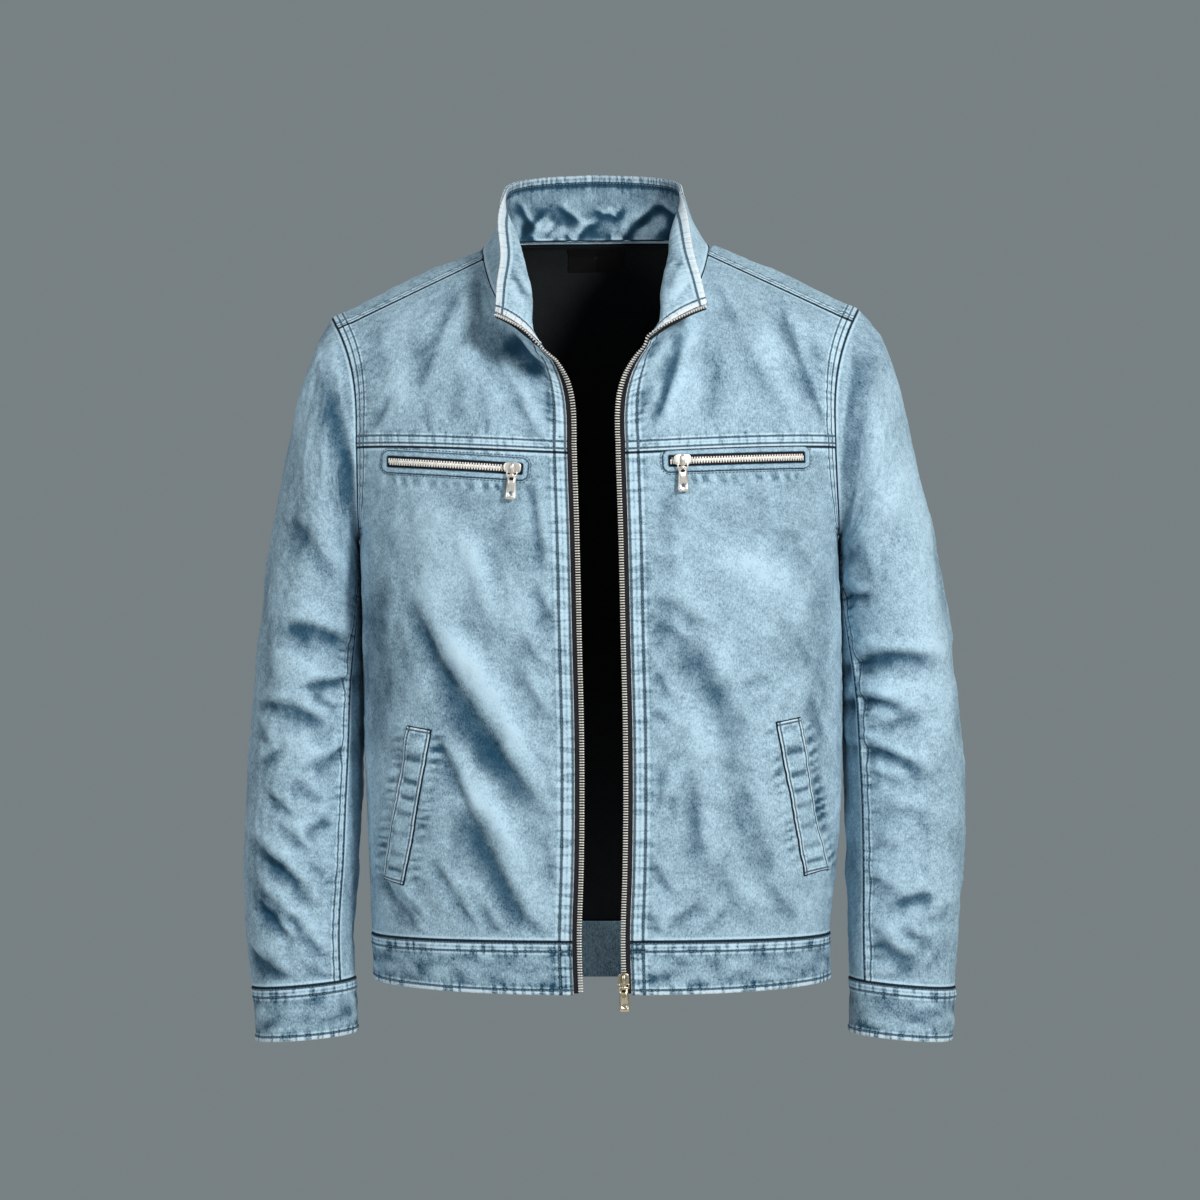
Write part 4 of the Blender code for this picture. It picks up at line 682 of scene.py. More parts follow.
def placed(surface, span, other, step, by_row=True):
    """Parameters from span[0] to span[1], spaced by the longest line of the surface between neighbours."""
    fine, others = np.linspace(*span, 400)[:, None], np.linspace(*other, 9)
    fine, others = fine + 0 * others, others + 0 * fine
    grid = surface(fine, others) if by_row else surface(others, fine)
    steps = np.linalg.norm(np.diff(grid, axis=0), axis=-1).max(1)
    length = np.concatenate([[0], np.cumsum(steps)])
    return np.interp(spaced(length[-1], step) * length[-1], length, fine[:, 0])


def summed(points, axis):
    """Length along a grid from its first row or column."""
    steps = np.linalg.norm(np.diff(points, axis=axis), axis=-1)
    start = np.zeros_like(np.take(steps, [0], axis=axis))
    return np.cumsum(np.concatenate([start, steps], axis=axis), axis=axis)


def grid_normals(points, closed):
    """Unit normals of a grid from its neighbours, row direction cross column direction."""
    if closed:
        wrapped = np.concatenate([points[:, -1:], points, points[:, :1]], axis=1)
        by_column = (wrapped[:, 2:] - wrapped[:, :-2]) / 2
    else:
        by_column = np.gradient(points, axis=1)
    return unit(np.cross(np.gradient(points, axis=0), by_column))


EDGES = ("first_row", "last_row", "first_column", "last_column")
# How far the shared direction of a seam reaches into the pieces on both sides.
SEAM_REACH = 0.004
# How much each kind of fold pales the colour with wear and painted highlight, or darkens it with painted
# shade, for each metre that it rises or sinks.
BROAD_SHADING, FINE_SHADING, FELL_SHADING = 110, 200, 560
# A seam allowance under a felled seam ends a little past its second row, in a short step.
ALLOWANCE_PAST, ALLOWANCE_STEP = 0.0022, 0.0018
# The puckers of the rows go on beyond them, round a line at this distance.
BEYOND_AT, BEYOND_REACH, BEYOND_SHARE = 0.0055, 0.0065, 0.9
# The place across the rows where there are none, and how far inside the first row they are looked for.
NO_ROW, ROWS_REACH = 9.0, 0.02


class Cloth:
    """One piece of cloth: a fine grid on its form, raised along its normals, then made a closed wall.

    felled names the edges whose seam is stitched down on this piece, each with its two stitched rows'
    distances; a first row outside the piece leaves one. free names the edges that no seam joins, each
    with how far its pale wear reaches. only names the part of an edge whose seam is stitched down.
    """

    def __init__(self, name, surface, rows, columns, outward=(0, 0, 0), felled=None, free=None,
                 closed=False, seed=1, step=STEP):
        self.name, self.closed, self.seed = name, closed, seed
        self.felled, self.free, self.only = felled or {}, free or {}, {}
        row = placed(surface, rows, columns, step)
        column = placed(surface, columns, rows, step, by_row=False)
        if closed:
            column = np.linspace(*columns, len(column), endpoint=False)
        self.row, self.column = np.meshgrid(row, column, indexing="ij")
        self.points = surface(self.row, self.column)
        self.normals = grid_normals(self.points, closed)
        if np.sum(self.normals * outward, axis=-1).mean() < 0:
            self.normals = -self.normals
        down, along = summed(self.points, 0), summed(self.points, 1)
        ends = [np.ones_like(along)] * 2 if closed else [along, along[:, -1:] - along]
        self.away = dict(zip(EDGES, (down, down[-1:] - down, *ends)))
        middle = along[:, along.shape[1] // 2][:, None]
        self.u, self.v = along - middle, np.broadcast_to(down.mean(1, keepdims=True), down.shape)
        self.height, self.shade = np.zeros_like(down), np.zeros_like(down)

    def face_away_from(self, middle):
        """Turns the normals over if they point towards a middle."""
        if np.sum(self.normals * (self.points - middle), axis=-1).mean() < 0:
            self.normals = -self.normals

    def bend_normals(self, edge, normals, where=1.0):
        """The walls near a seam share its own direction, as far along it as where says."""
        weight = (np.exp(-self.away[edge] / SEAM_REACH) * where)[..., None]
        normals = normals[:, None] if "column" in edge else normals[None]
        self.normals = unit(self.normals * (1 - weight) + normals * weight)

    def seam_distance(self):
        """Distance to the nearest seam on any edge, 1 where there is none."""
        seams = [away for edge, away in self.away.items() if edge not in self.free]
        return np.minimum.reduce([*seams, np.ones_like(self.shade)])

    def wear(self):
        """1 on the free edges, fading inwards."""
        worn = [bell(self.away[edge] / reach) for edge, reach in self.free.items()]
        return sum(worn, np.zeros_like(self.shade))

    def calm(self, start, over, edges=EDGES):
        """0 within start of the named edges, 1 further in than start and over."""
        return math.prod([ease((self.away[edge] - start) / over) for edge in edges])

    def fold(self, relief, shading):
        """Raises the cloth by relief, and paints its shading by shading for each metre.

        Hollows darken with painted shade and the wash's darker dye; ridges pale with wear and
        painted highlight.
        """
        self.height = self.height + relief
        self.shade = self.shade + relief * shading

    def crease(self, table, where=1.0, flatter=1.0):
        """Folds the cloth along the lines of a table, in x and z, painting their shade and highlight.

        flatter makes the relief shallower and leaves the painted shading as strong.
        """
        relief = creases(self.points[..., 0], self.points[..., 2], table) * where
        self.fold(relief * flatter, CREASE_SHADING / flatter)

    def soften(self, amount, shortest, longest):
        """Broad and fine unevenness between the creases."""
        broad = amount * crumple(self.u, self.v, self.seed, shortest, longest)
        self.fold(broad * self.calm(0.006, 0.03), BROAD_SHADING)
        fine = amount * 0.35 * crumple(self.u, self.v, self.seed + 50, 0.010, 0.024)
        self.fold(fine * self.calm(0.002, 0.01), FINE_SHADING)

    def fell(self, proud=0.0005, wave=0.00034, pitch=0.0088):
        """Raises the cloth over each felled seam allowance and puckers it along the stitched rows."""
        for index, (edge, (near, far)) in enumerate(self.felled.items()):
            away, on, seed = self.away[edge], self.sewn_at(edge), self.seed * 7 + index
            along = self.u if "row" in edge else self.v
            self.height = self.height + on * proud * ease((far + ALLOWANCE_PAST - away) / ALLOWANCE_STEP)
            at_rows = bell((away - (near + far) / 2) / ((far - near) * 0.75 + 0.001))
            waves = ruffle(along, pitch, seed) * at_rows
            past_rows = bell((away - far - BEYOND_AT) / BEYOND_REACH)
            beyond = ruffle(along, pitch * 1.25, seed + 3) * past_rows
            self.fold(on * wave * (waves + BEYOND_SHARE * beyond), FELL_SHADING)

    def roll_edges(self, radius=0.0013, drop=0.0009):
        """Rounds every edge down into its seam, along a quarter circle."""
        for away in self.away.values():
            near = np.clip(1 - away / radius, 0, 1)
            self.height = self.height - drop * (1 - np.sqrt(1 - near * near))

    def sewn_at(self, edge):
        """True where an edge's seam is stitched down: all along it, unless only part of it is named."""
        return np.broadcast_to(self.only.get(edge, np.ones((1, 1), bool)), self.u.shape)

    def seam_rows(self, kind):
        """Place across the felled seams of that kind: 0 and 1 on the two stitched rows."""
        found = np.full_like(self.u, NO_ROW)
        for edge, (near, far) in self.felled.items():
            if kind in edge:
                place = (self.away[edge] - near) / (far - near)
                sewn = (self.away[edge] < near + ROWS_REACH) & self.sewn_at(edge)
                found = np.minimum(found, np.where(sewn, place, NO_ROW))
        return found

    def raised(self):
        """The grid with its folds."""
        return self.points + self.normals * self.height[..., None]

    def line(self, edge, distance):
        """(points, normals) at one distance from an edge, found on each grid line across it."""
        away, points, normals, on = self.away[edge], self.raised(), self.normals, self.sewn_at(edge)
        if "column" in edge:
            away, points, normals, on = away.T, points.swapaxes(0, 1), normals.swapaxes(0, 1), on.T
        if edge.startswith("last"):
            away, points, normals = away[::-1], points[::-1], normals[::-1]
        i = np.clip((away < distance).sum(0) - 1, 0, len(away) - 2)
        j = np.flatnonzero(on[0])
        i = i[j]
        t = ((distance - away[i, j]) / (away[i + 1, j] - away[i, j]))[:, None]
        place, normal = (values[i, j] * (1 - t) + values[i + 1, j] * t for values in (points, normals))
        return place, unit(normal)

    def sewn(self):
        """The stitched rows of all felled seams, as (points, normals)."""
        rows = [(edge, distance) for edge, pair in self.felled.items() for distance in pair]
        return [self.line(edge, distance) for edge, distance in rows if distance > 0]

    def make(self, thickness, finishes, proud=0.0, flat=None, nodes=(), slot="denim", area=None, rests_on=()):
        """Builds the wall: the fine outer face, a coarser inner face, and a rim that joins them."""
        self.height = self.height + proud
        outer = self.raised()
        rows, columns = outer.shape[:2]
        kept_rows, kept_columns = (np.unique([*range(0, n, COARSE), n - 1]) for n in (rows, columns))
        kept = np.ix_(kept_rows, kept_columns)
        depth = lowest_near(self.height, COARSE) - thickness
        inner = (self.points + self.normals * depth[..., None])[kept]
        forward = bool(np.sum(grid_normals(outer, self.closed) * self.normals, axis=-1).mean() > 0)
        front = grid_faces(rows, columns, 0, self.closed, forward)
        back = grid_faces(*inner.shape[:2], rows * columns, self.closed, not forward)
        rim = rim_faces(rows, columns, kept_rows, kept_columns, self.closed, forward)
        outer, inner = outer.reshape(-1, 3), inner.reshape(-1, 3)
        mesh = new_mesh(self.name, np.concatenate([outer, inner]), front + back + rim, finishes)
        finish = np.zeros(len(mesh.polygons), np.int32)
        finish[len(front):len(front) + len(back)] = len(finishes) - 1
        mesh.polygons.foreach_set("material_index", finish)
        seams = np.stack([self.seam_rows("row"), self.seam_rows("column"), self.seam_distance()], -1)
        none = np.zeros(len(inner))
        set_values(mesh, np.concatenate([seams.reshape(-1, 3), np.tile(NO_SEAM, (len(inner), 1))]),
                   np.append(self.shade.ravel(), none), np.append(self.wear().ravel(), none))
        uv = np.stack([self.u, self.v], -1)
        set_uv(mesh, np.concatenate([uv.reshape(-1, 2), uv[kept].reshape(-1, 2)]))
        made = placed_object(self.name, mesh, nodes, slot)
        if flat:
            list(rests_on)
        return made


def lowest_near(height, reach):
    """The lowest of the heights within reach steps of each place on a grid."""
    rows, columns = height.shape
    wide = np.pad(height, reach, mode="edge")
    low = np.min([wide[k:k + rows] for k in range(2 * reach + 1)], axis=0)
    return np.min([low[:, k:k + columns] for k in range(2 * reach + 1)], axis=0)


def grid_faces(rows, columns, first, closed, forward):
    """Four-sided faces of a grid whose vertices start at first."""
    wrap = columns if closed else columns - 1
    row, column = np.arange(rows - 1)[:, None] * columns, np.arange(wrap)[None, :]
    a, b = (row + column).ravel() + first, (row + (column + 1) % columns).ravel() + first
    quads = np.stack([a, a + columns, b + columns, b], 1)
    return (quads if forward else quads[:, ::-1]).tolist()


def rim_faces(rows, columns, kept_rows, kept_columns, closed, forward):
    """Faces that join the edges of a fine grid to those of its coarse one, whose vertices follow it."""
    fine = np.arange(rows * columns).reshape(rows, columns)
    coarse = rows * columns + np.arange(len(kept_rows) * len(kept_columns)).reshape(len(kept_rows), -1)
    edges = [(fine[at], coarse[at], kept_columns, at == 0) for at in (0, -1)]
    if not closed:
        edges += [(fine[:, at], coarse[:, at], kept_rows, at != 0) for at in (0, -1)]
    faces = []
    for near, far, kept, flip in edges:
        near, far = near.tolist(), far.tolist()
        loops = [[*near[kept[k]:kept[k + 1] + 1], far[k + 1], far[k]] for k in range(len(kept) - 1)]
        if closed:
            loops.append([*near[kept[-1]:], near[0], far[0], far[-1]])
        faces += [loop[::-1] if flip == forward else loop for loop in loops]
    return faces


# The seam values of a place far from any seam.
NO_SEAM = (NO_ROW, NO_ROW, 0.01)


def new_mesh(name, vertices, faces, finishes):
    """A smooth mesh with its finishes."""
    mesh = bpy.data.meshes.new(name)
    mesh.from_pydata(vertices, [], faces)
    for finish in finishes:
        mesh.materials.append(finish)
    mesh.polygons.foreach_set("use_smooth", np.ones(len(mesh.polygons), bool))
    return mesh


def set_uv(mesh, uv):
    """Each vertex's own place on the cloth, in metres."""
    corners = np.zeros(len(mesh.loops), np.int32)
    mesh.loops.foreach_get("vertex_index", corners)
    mesh.uv_layers.new(name="cloth").data.foreach_set("uv", uv.reshape(-1, 2)[corners].ravel())


def set_values(mesh, seams, shade, wear):
    """What the finishes read: places across the stitched rows, distance to a seam, shading and wear."""
    mesh.attributes.new("seams", "FLOAT_VECTOR", "POINT").data.foreach_set("vector", np.ravel(seams))
    mesh.attributes.new("shade", "FLOAT", "POINT").data.foreach_set("value", np.ravel(shade))
    mesh.attributes.new("wear", "FLOAT", "POINT").data.foreach_set("value", np.ravel(wear))


def placed_object(name, mesh, nodes, slot, body="jacket"):
    """An object that rides on its body and stands in for its CAD nodes."""
    mesh.validate()
    made = bpy.data.objects.new(name, mesh)
    bpy.context.scene.collection.objects.link(made)
    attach(made, body)
    if nodes:
        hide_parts(*nodes)
    return made


# ---- lines, profiles and repeated shapes ----
def plain_object(name, vertices, faces, finish, nodes=(), slot="denim", body="jacket", uv=None, shade=None):
    """A finished mesh whose attributes say that no seam is near."""
    mesh = new_mesh(name, vertices, faces, [finish])
    none = np.zeros(len(vertices))
    set_values(mesh, np.tile(NO_SEAM, (len(vertices), 1)), none if shade is None else shade, none)
    if uv is not None:
        set_uv(mesh, uv)
    return placed_object(name, mesh, nodes, slot, body)


def loop_faces(rows, columns, round_rows=False, caps=True):
    """Faces of a grid whose columns close on themselves; its rows close too, or end in caps."""
    row, column = np.arange(rows if round_rows else rows - 1)[:, None], np.arange(columns)[None, :]
    below, beside = (row + 1) % rows, (column + 1) % columns
    corners = ((row, column), (row, beside), (below, beside), (below, column))
    faces = np.stack([(r * columns + c).ravel() for r, c in corners], 1).tolist()
    if caps and not round_rows:
        faces += [list(range(columns))[::-1], list(range((rows - 1) * columns, rows * columns))]
    return faces


def outward_faces(vertices, faces):
    """The faces, all turned over if they enclose less than nothing."""
    corners = ((f[0], f[i], f[i + 1]) for f in faces for i in range(1, len(f) - 1))
    volume = sum(np.dot(vertices[a], np.cross(vertices[b], vertices[c])) for a, b, c in corners)
    return [f[::-1] for f in faces] if volume < 0 else faces


def tube(grid, round_rows=False):
    """(vertices, faces) of a grid whose columns close on themselves, facing outwards."""
    vertices = grid.reshape(-1, 3)
    return vertices, outward_faces(vertices, loop_faces(*grid.shape[:2], round_rows=round_rows))


def oval(width, height, power, count):
    """Closed outline x, y with rounded corners: the signed power of the cosine and sine of one turn."""
    turn = np.arange(count) * 2 * math.pi / count
    x, y = width / 2 * signed_power(np.cos(turn), power), height / 2 * signed_power(np.sin(turn), power)
    return np.stack([x, y], -1)


def carried(points, across, up, profile):
    """A profile carried along a line: each of its points lies by its two numbers along across and up."""
    return points[:, None] + across[:, None] * profile[None, :, :1] + up[:, None] * profile[None, :, 1:2]


def resampled(points, others, spacing, margin=0.0):
    """Places spaced evenly along a line, with the other arrays carried along, and the line's direction there.

    The margin stays free at both ends.
    """
    length = np.concatenate([[0], np.cumsum(np.linalg.norm(np.diff(points, axis=0), axis=-1))])
    room = length[-1] - margin - margin
    count = max(int(room / spacing), 1)
    at = margin + (room - count * spacing) / 2 + spacing * (np.arange(count) + 0.5)

    def pick(values, where):
        return np.stack([np.interp(where, length, values[:, i]) for i in range(3)], -1)

    ahead = unit(pick(points, at + spacing / 4) - pick(points, at - spacing / 4))
    return pick(points, at), [unit(pick(other, at)) for other in others], ahead


def repeated(shape, places, axes):
    """One small shape (vertices, faces) set at many places, its three numbers measured along the axes."""
    vertices, faces = shape
    moved = places[:, None] + sum(axis[:, None] * vertices[None, :, i:i + 1] for i, axis in enumerate(axes))
    starts = range(0, len(places) * len(vertices), len(vertices))
    return moved.reshape(-1, 3), [[v + start for v in face] for start in starts for face in faces]


def together(shapes):
    """Several shapes (vertices, faces) as one."""
    vertices, faces, count = [], [], 0
    for points, made in shapes:
        faces += [[v + count for v in face] for face in made]
        vertices.append(points)
        count += len(points)
    return np.concatenate(vertices), faces


def spindle(length, width, height, sides=4):
    """Stitch: rings along x, thin at both ends, which dip into the cloth."""
    along = np.array([-0.5, -0.40, 0.0, 0.40, 0.5]) * length
    size = np.array([0.35, 0.85, 1.0, 0.85, 0.35])
    turn = np.arange(sides) * 2 * math.pi / sides
    x = np.broadcast_to(along[:, None], (5, sides))
    y, z = size[:, None] * np.cos(turn) * width / 2, size[:, None] * np.sin(turn) * height / 2
    dip = np.array([-0.55, -0.1, 0.12, -0.1, -0.55])[:, None] * height
    vertices = np.stack([x, y, z + dip], -1).reshape(-1, 3)
    return vertices, outward_faces(vertices, loop_faces(5, sides))


STITCH_PITCH = 0.0031
STITCH_SIZE = (0.0024, 0.00100, 0.0006)
STITCH_PROUD = 0.00012
STITCH_MARGIN = 0.001


def stitches(name, rows):
    """Topstitching along every row, as short threads that dip into the cloth at both ends."""
    shape = spindle(*STITCH_SIZE)
    made = []
    for points, normals in rows:
        places, (up,), ahead = resampled(points, [normals], STITCH_PITCH, STITCH_MARGIN)
        up = unit(up - ahead * np.sum(up * ahead, -1, keepdims=True))
        made.append(repeated(shape, places + up * STITCH_PROUD, (ahead, np.cross(up, ahead), up)))
    return plain_object(name, *together(made), THREAD)


# ---- finishes ----
def arithmetic(operation, turned=False):
    """An operator of a node's output, which is the second number when turned."""
    def apply(self, other):
        return self.math(operation, *((other, self) if turned else (self, other)))
    return apply


class Flow:
    """Output of a node; plain arithmetic on it, from either side, adds Math nodes."""

    __add__, __radd__ = arithmetic("ADD"), arithmetic("ADD", turned=True)
    __sub__, __rsub__ = arithmetic("SUBTRACT"), arithmetic("SUBTRACT", turned=True)
    __mul__, __rmul__ = arithmetic("MULTIPLY"), arithmetic("MULTIPLY", turned=True)

    def __init__(self, finish, socket):
        self.finish, self.socket = finish, socket

    def math(self, operation, first, second=0.0, clamp=False):
        """A Math node on two numbers or flows."""
        settings = {"operation": operation, "use_clamp": clamp}
        return self.finish.node("ShaderNodeMath", settings, {0: first, 1: second})

    def clamped(self):
        """Held between 0 and 1."""
        return self.math("ADD", self, 0.0, clamp=True)

    def size(self):
        """Without its sign."""
        return self.math("ABSOLUTE", self)

    def least(self, other):
        """The lower of two."""
        return self.math("MINIMUM", self, other)

    def between(self, low, high):
        """0 at low and 1 at high, smooth between; high may be below low."""
        down = high < low
        inputs = {0: self, 1: min(low, high), 2: max(low, high), 3: float(down), 4: float(not down)}
        return self.finish.node("ShaderNodeMapRange", {"interpolation_type": "SMOOTHSTEP"}, inputs)


class Finish:
    """A material and the one way to add a node to it."""

    def __init__(self, name, roughness=0.9, metallic=0.0, sheen=0.0):
        self.material = bpy.data.materials.new(name)
        self.material.use_nodes = True
        self.tree = self.material.node_tree
        self.shader = self.tree.nodes["Principled BSDF"]
        for socket, value in (("Roughness", roughness), ("Metallic", metallic), ("Sheen Weight", sheen)):
            self.shader.inputs[socket].default_value = value

    def node(self, kind, settings, inputs, out=0):
        """An output of a new node, by number, once the settings and inputs are given."""
        made = self.tree.nodes.new(kind)
        for key, value in settings.items():
            setattr(made, key, value)
        for key, value in inputs.items():
            if isinstance(value, Flow):
                self.tree.links.new(value.socket, made.inputs[key])
            else:
                made.inputs[key].default_value = value
        return Flow(self, made.outputs[out])

    def set(self, socket, value):
        """Sets or links one of the shader's inputs."""
        if isinstance(value, Flow):
            self.tree.links.new(value.socket, self.shader.inputs[socket])
        else:
            self.shader.inputs[socket].default_value = value

    def place(self):
        """The place in the jacket's own frame, in metres."""
        return self.node("ShaderNodeTexCoord", {}, {}, 3)

    def mix(self, factor, first, second):
        """Colour between two others, by a factor from 0 to 1."""
        first, second = (value if isinstance(value, Flow) else (*value, 1) for value in (first, second))
        return self.node("ShaderNodeMix", {"data_type": "RGBA"}, {0: factor, 6: first, 7: second}, 2)

    def noise(self, place, scale, detail=2.0, roughness=0.5):
        """Clouds from 0 to 1, with so many to the metre."""
        inputs = {"Vector": place, "Scale": scale, "Detail": detail, "Roughness": roughness}
        return self.node("ShaderNodeTexNoise", {}, inputs)

    def cloth_place(self, across=1.0, along=1.0):
        """The cloth's own place in metres, stretched by across and along."""
        place = self.node("ShaderNodeUVMap", {"uv_map": "cloth"}, {})
        return self.node("ShaderNodeMapping", {}, {"Vector": place, "Scale": (across, along, 1)})

    def bump(self, height, distance, strength):
        """Fine relief by a height flow."""
        inputs = {"Strength": strength, "Distance": distance, "Height": height}
        normal = self.node("ShaderNodeBump", {}, inputs)
        self.tree.links.new(normal.socket, self.shader.inputs["Normal"])


# The dye's deepest blue, which is also the colour of the painted shade in hollows.
DYE_AND_SHADE = (0.016, 0.070, 0.125)
FADED = (0.505, 0.715, 0.850)
WORN = (0.780, 0.870, 0.915)
# Near-black painted shadow, in the grooves of seams and stitched rows and in the deepest hollows.
PAINTED_SHADOW = (0.009, 0.024, 0.040)


def denim(name, tone=0.0, ladders=190, puckered=0.42, worn=0.7):
    """Washed denim: uneven yarns, clouds of fading, pale ridges, worn edges and painted shading.

    Ridges are pale by wear and painted highlight, and hollows dark by painted shade and the wash's darker
    dye;
    seams, the grooves of the stitched rows and the troughs of the puckers across them take painted shade.
    tone lightens it all, ladders is the fineness of the puckers, and puckered and worn are how strongly
    the puckers' painted shade and the wear show.
    """
    finish = Finish(name, roughness=0.9)
    finish.set("Specular IOR Level", 0.12)
    place = finish.place()
    slub = finish.noise(finish.cloth_place(1.0, 0.45), 760, 1.0, 0.5)
    pepper = finish.noise(place, 700, 1.5, 0.6)
    patch = finish.noise(place, 190, 2.0, 0.55)
    cloud = finish.noise(place, 22, 2.0, 0.5)
    seams = finish.node("ShaderNodeAttribute", {"attribute_name": "seams"}, {}, 1)
    parts = finish.node("ShaderNodeSeparateXYZ", {}, {0: seams})
    row, column, edge = (Flow(finish, parts.socket.node.outputs[i]) for i in range(3))
    shade = finish.node("ShaderNodeAttribute", {"attribute_name": "shade"}, {}, 2)
    wear = finish.node("ShaderNodeAttribute", {"attribute_name": "wear"}, {}, 2)
    # How near the nearest stitched row is, in shares of the distance between two rows.
    nearest = row.size().least((row - 1.0).size()).least(column.size().least((column - 1.0).size()))
    # Painted shade in the grooves of the stitched rows.
    row_groove_shade = nearest.between(0.17, 0.05)
    lips = nearest.between(0.14, 0.24) * nearest.between(0.52, 0.30)
    band = row.least(column).between(1.35, 1.0)
    # Puckers across the stitched rows: painted shade in their troughs, which also sink in the bump.
    pucker = 0.0
    for line, across, along in ((row, 1.0, 0.16), (column, 0.16, 1.0)):
        ladder = finish.noise(finish.cloth_place(across, along), ladders, 1.0, 0.4)
        pucker = ladder.between(0.54, 0.36) * line.between(1.95, 1.05) + pucker
    # Distances to a seam, in metres: painted shade in its groove, and a pale ridge beside it.
    seam_groove_shade = edge.between(0.0014, 0.0006)
    ridge = edge.between(0.0010, 0.0019) * edge.between(0.0044, 0.0022)
    # The fading: yarns, clouds and wear, with the painted shading of the shade attribute and of the puckers.
    fade = (0.64 + tone) + (slub - 0.5) * 0.75 + (pepper - 0.5) * 0.75
    fade = fade + (patch - 0.5) * 0.55 + (cloud - 0.5) * 0.5
    fade = fade + shade * 0.5 + ridge * 0.42 + lips * 0.36 + band * 0.16 + wear * 0.25 - pucker * puckered
    colour = finish.mix(fade.clamped(), DYE_AND_SHADE, FADED)
    colour = finish.mix((wear * worn + (fade - 1.0) * 0.8).clamped(), colour, WORN)
    # Hollows take painted shade towards the dye's deepest blue.
    hollow_shade = 0.0 - shade
    colour = finish.mix(hollow_shade.between(0.02, 1.1) * 0.88, colour, DYE_AND_SHADE)
    # Painted shadow in the seams' and rows' grooves and in the deepest hollows.
    painted_dark = row_groove_shade * 0.85 + seam_groove_shade * 0.96 + hollow_shade.between(0.8, 2.2) * 0.9
    colour = finish.mix(painted_dark.clamped(), colour, PAINTED_SHADOW)
    finish.set("Base Color", colour)
    finish.bump(slub * 0.35 + pepper * 0.35 - row_groove_shade * 1.2 - seam_groove_shade - pucker, 0.0006, 0.9)
    return finish.material


def woven_black(name, colour, scale, roughness):
    """Dark woven cloth: fine crossing yarns and a slow unevenness."""
    finish = Finish(name, roughness=roughness)
    finish.set("Specular IOR Level", 0.2)
    yarn = finish.noise(finish.cloth_place(1.0, 0.25), scale, 2.0)
    cross = finish.noise(finish.cloth_place(0.25, 1.0), scale, 2.0)
    slow = finish.noise(finish.cloth_place(), 40, 2.0)
    pale = tuple(3.2 * c for c in colour)
    finish.set("Base Color", finish.mix(((yarn + cross) * 0.7 + slow * 0.6 - 0.65).clamped(), colour, pale))
    finish.bump(yarn + cross, 0.0003, 0.5)
    return finish.material


def metal(name, colour, dull, roughness, metallic=1.0):
    """Cast and tumbled metal: softly uneven, darker where it is dull."""
    finish = Finish(name, roughness=roughness, metallic=metallic)
    place = finish.place()
    fine, slow = finish.noise(place, 900, 3.0), finish.noise(place, 160, 2.0)
    finish.set("Base Color", finish.mix((slow * 1.6 - 0.3).clamped(), dull, colour))
    finish.set("Roughness", fine * 0.25 + (roughness - 0.1))
    finish.bump(fine, 0.0001, 0.35)
    return finish.material


def thread(name, colour):
    """Sewing thread, softly mottled."""
    finish = Finish(name, roughness=0.7, sheen=0.2)
    place = finish.place()
    ply = finish.noise(place, 1500, 1.0)
    finish.set("Base Color", finish.mix(ply, tuple(0.8 * c for c in colour), tuple(1.2 * c for c in colour)))
    return finish.material


DENIM_CLOTH = denim("washed denim")
DENIM_LOW = denim("darker washed denim", -0.19, puckered=0.6)
DENIM_COLLAR = denim("collar denim", 0.02, 300, 0.12, 1.0)
DENIM_NECK = denim("inner collar denim", 0.02, 330, 0.5, 0.5)
LINING = woven_black("black lining", (0.0042, 0.0056, 0.0066), 900, 0.8)
TAPE = woven_black("black zip tape", (0.008, 0.008, 0.010), 1400, 0.85)
LABEL = woven_black("black satin", (0.0016, 0.0016, 0.0020), 1800, 0.5)
CHAIN = metal("bright silver chain", (0.97, 0.95, 0.90), (0.82, 0.79, 0.73), 0.45, 0.6)
TEETH = metal("warm silver teeth", (0.95, 0.93, 0.87), (0.74, 0.71, 0.66), 0.45, 0.6)
NICKEL = metal("warm nickel", (0.97, 0.94, 0.88), (0.84, 0.80, 0.73), 0.38, 0.8)
# Near-black piece that paints the shadow inside a pull's eye.
HOLE_SHADOW = metal("painted hole shadow", (0.05, 0.045, 0.04), (0.02, 0.02, 0.02), 0.6)
BRASS = metal("pale brass", (0.90, 0.81, 0.62), (0.64, 0.54, 0.36), 0.30)
THREAD = thread("blue thread", (0.10, 0.19, 0.27))


# ---- the pieces of cloth ----
YOKE_ROWS_SEWN = (0.0035, 0.0098)
FRONT_ROWS_SEWN = (0.0015, 0.0110)
ARMHOLE_ROWS_SEWN = (0.0050, 0.0100)
SHOULDER_ROWS_SEWN = (0.0034, 0.0074)
BAND_ROWS_SEWN = (0.0015, 0.0085)
FOREARM_ROWS_SEWN = (0.0015, 0.0075)
EDGE_ROW_SEWN = (-0.0025, 0.0042)
COLLAR_ROWS_SEWN = {"last_row": (-0.0010, 0.0072), "first_column": (-0.0010, 0.0062),
                    "last_column": (-0.0010, 0.0062)}
WELT_ROW_SEWN = (-0.0027, 0.0033)
EDGE_WEAR = 0.0024
COLLAR_WEAR = 0.0042
# Rows of puckers along a chest pocket, each by its height over the slot and its width.
CHEST_PUCKERS = ((-0.0165, 0.0040), (0.0125, 0.0025))
CHEST_PUCKER_DEPTH, CHEST_PUCKER_PITCH, CHEST_PUCKER_SHADING = 0.0007, 0.0110, 1100
# Rows of puckers on both sides of a hand pocket's welt, so far beside it.
HAND_PUCKER_BESIDE, HAND_PUCKER_WIDTH = 0.0058, 0.0054
HAND_PUCKER_DEPTH, HAND_PUCKER_PITCH, HAND_PUCKER_SHADING = 0.0008, 0.0088, 1200
BAND_RIPPLE, BAND_RIPPLE_SHADING = 0.0004, 800
# How sharply a sleeve's front creases end where it turns to the back.
HALF_FADE = 2.5
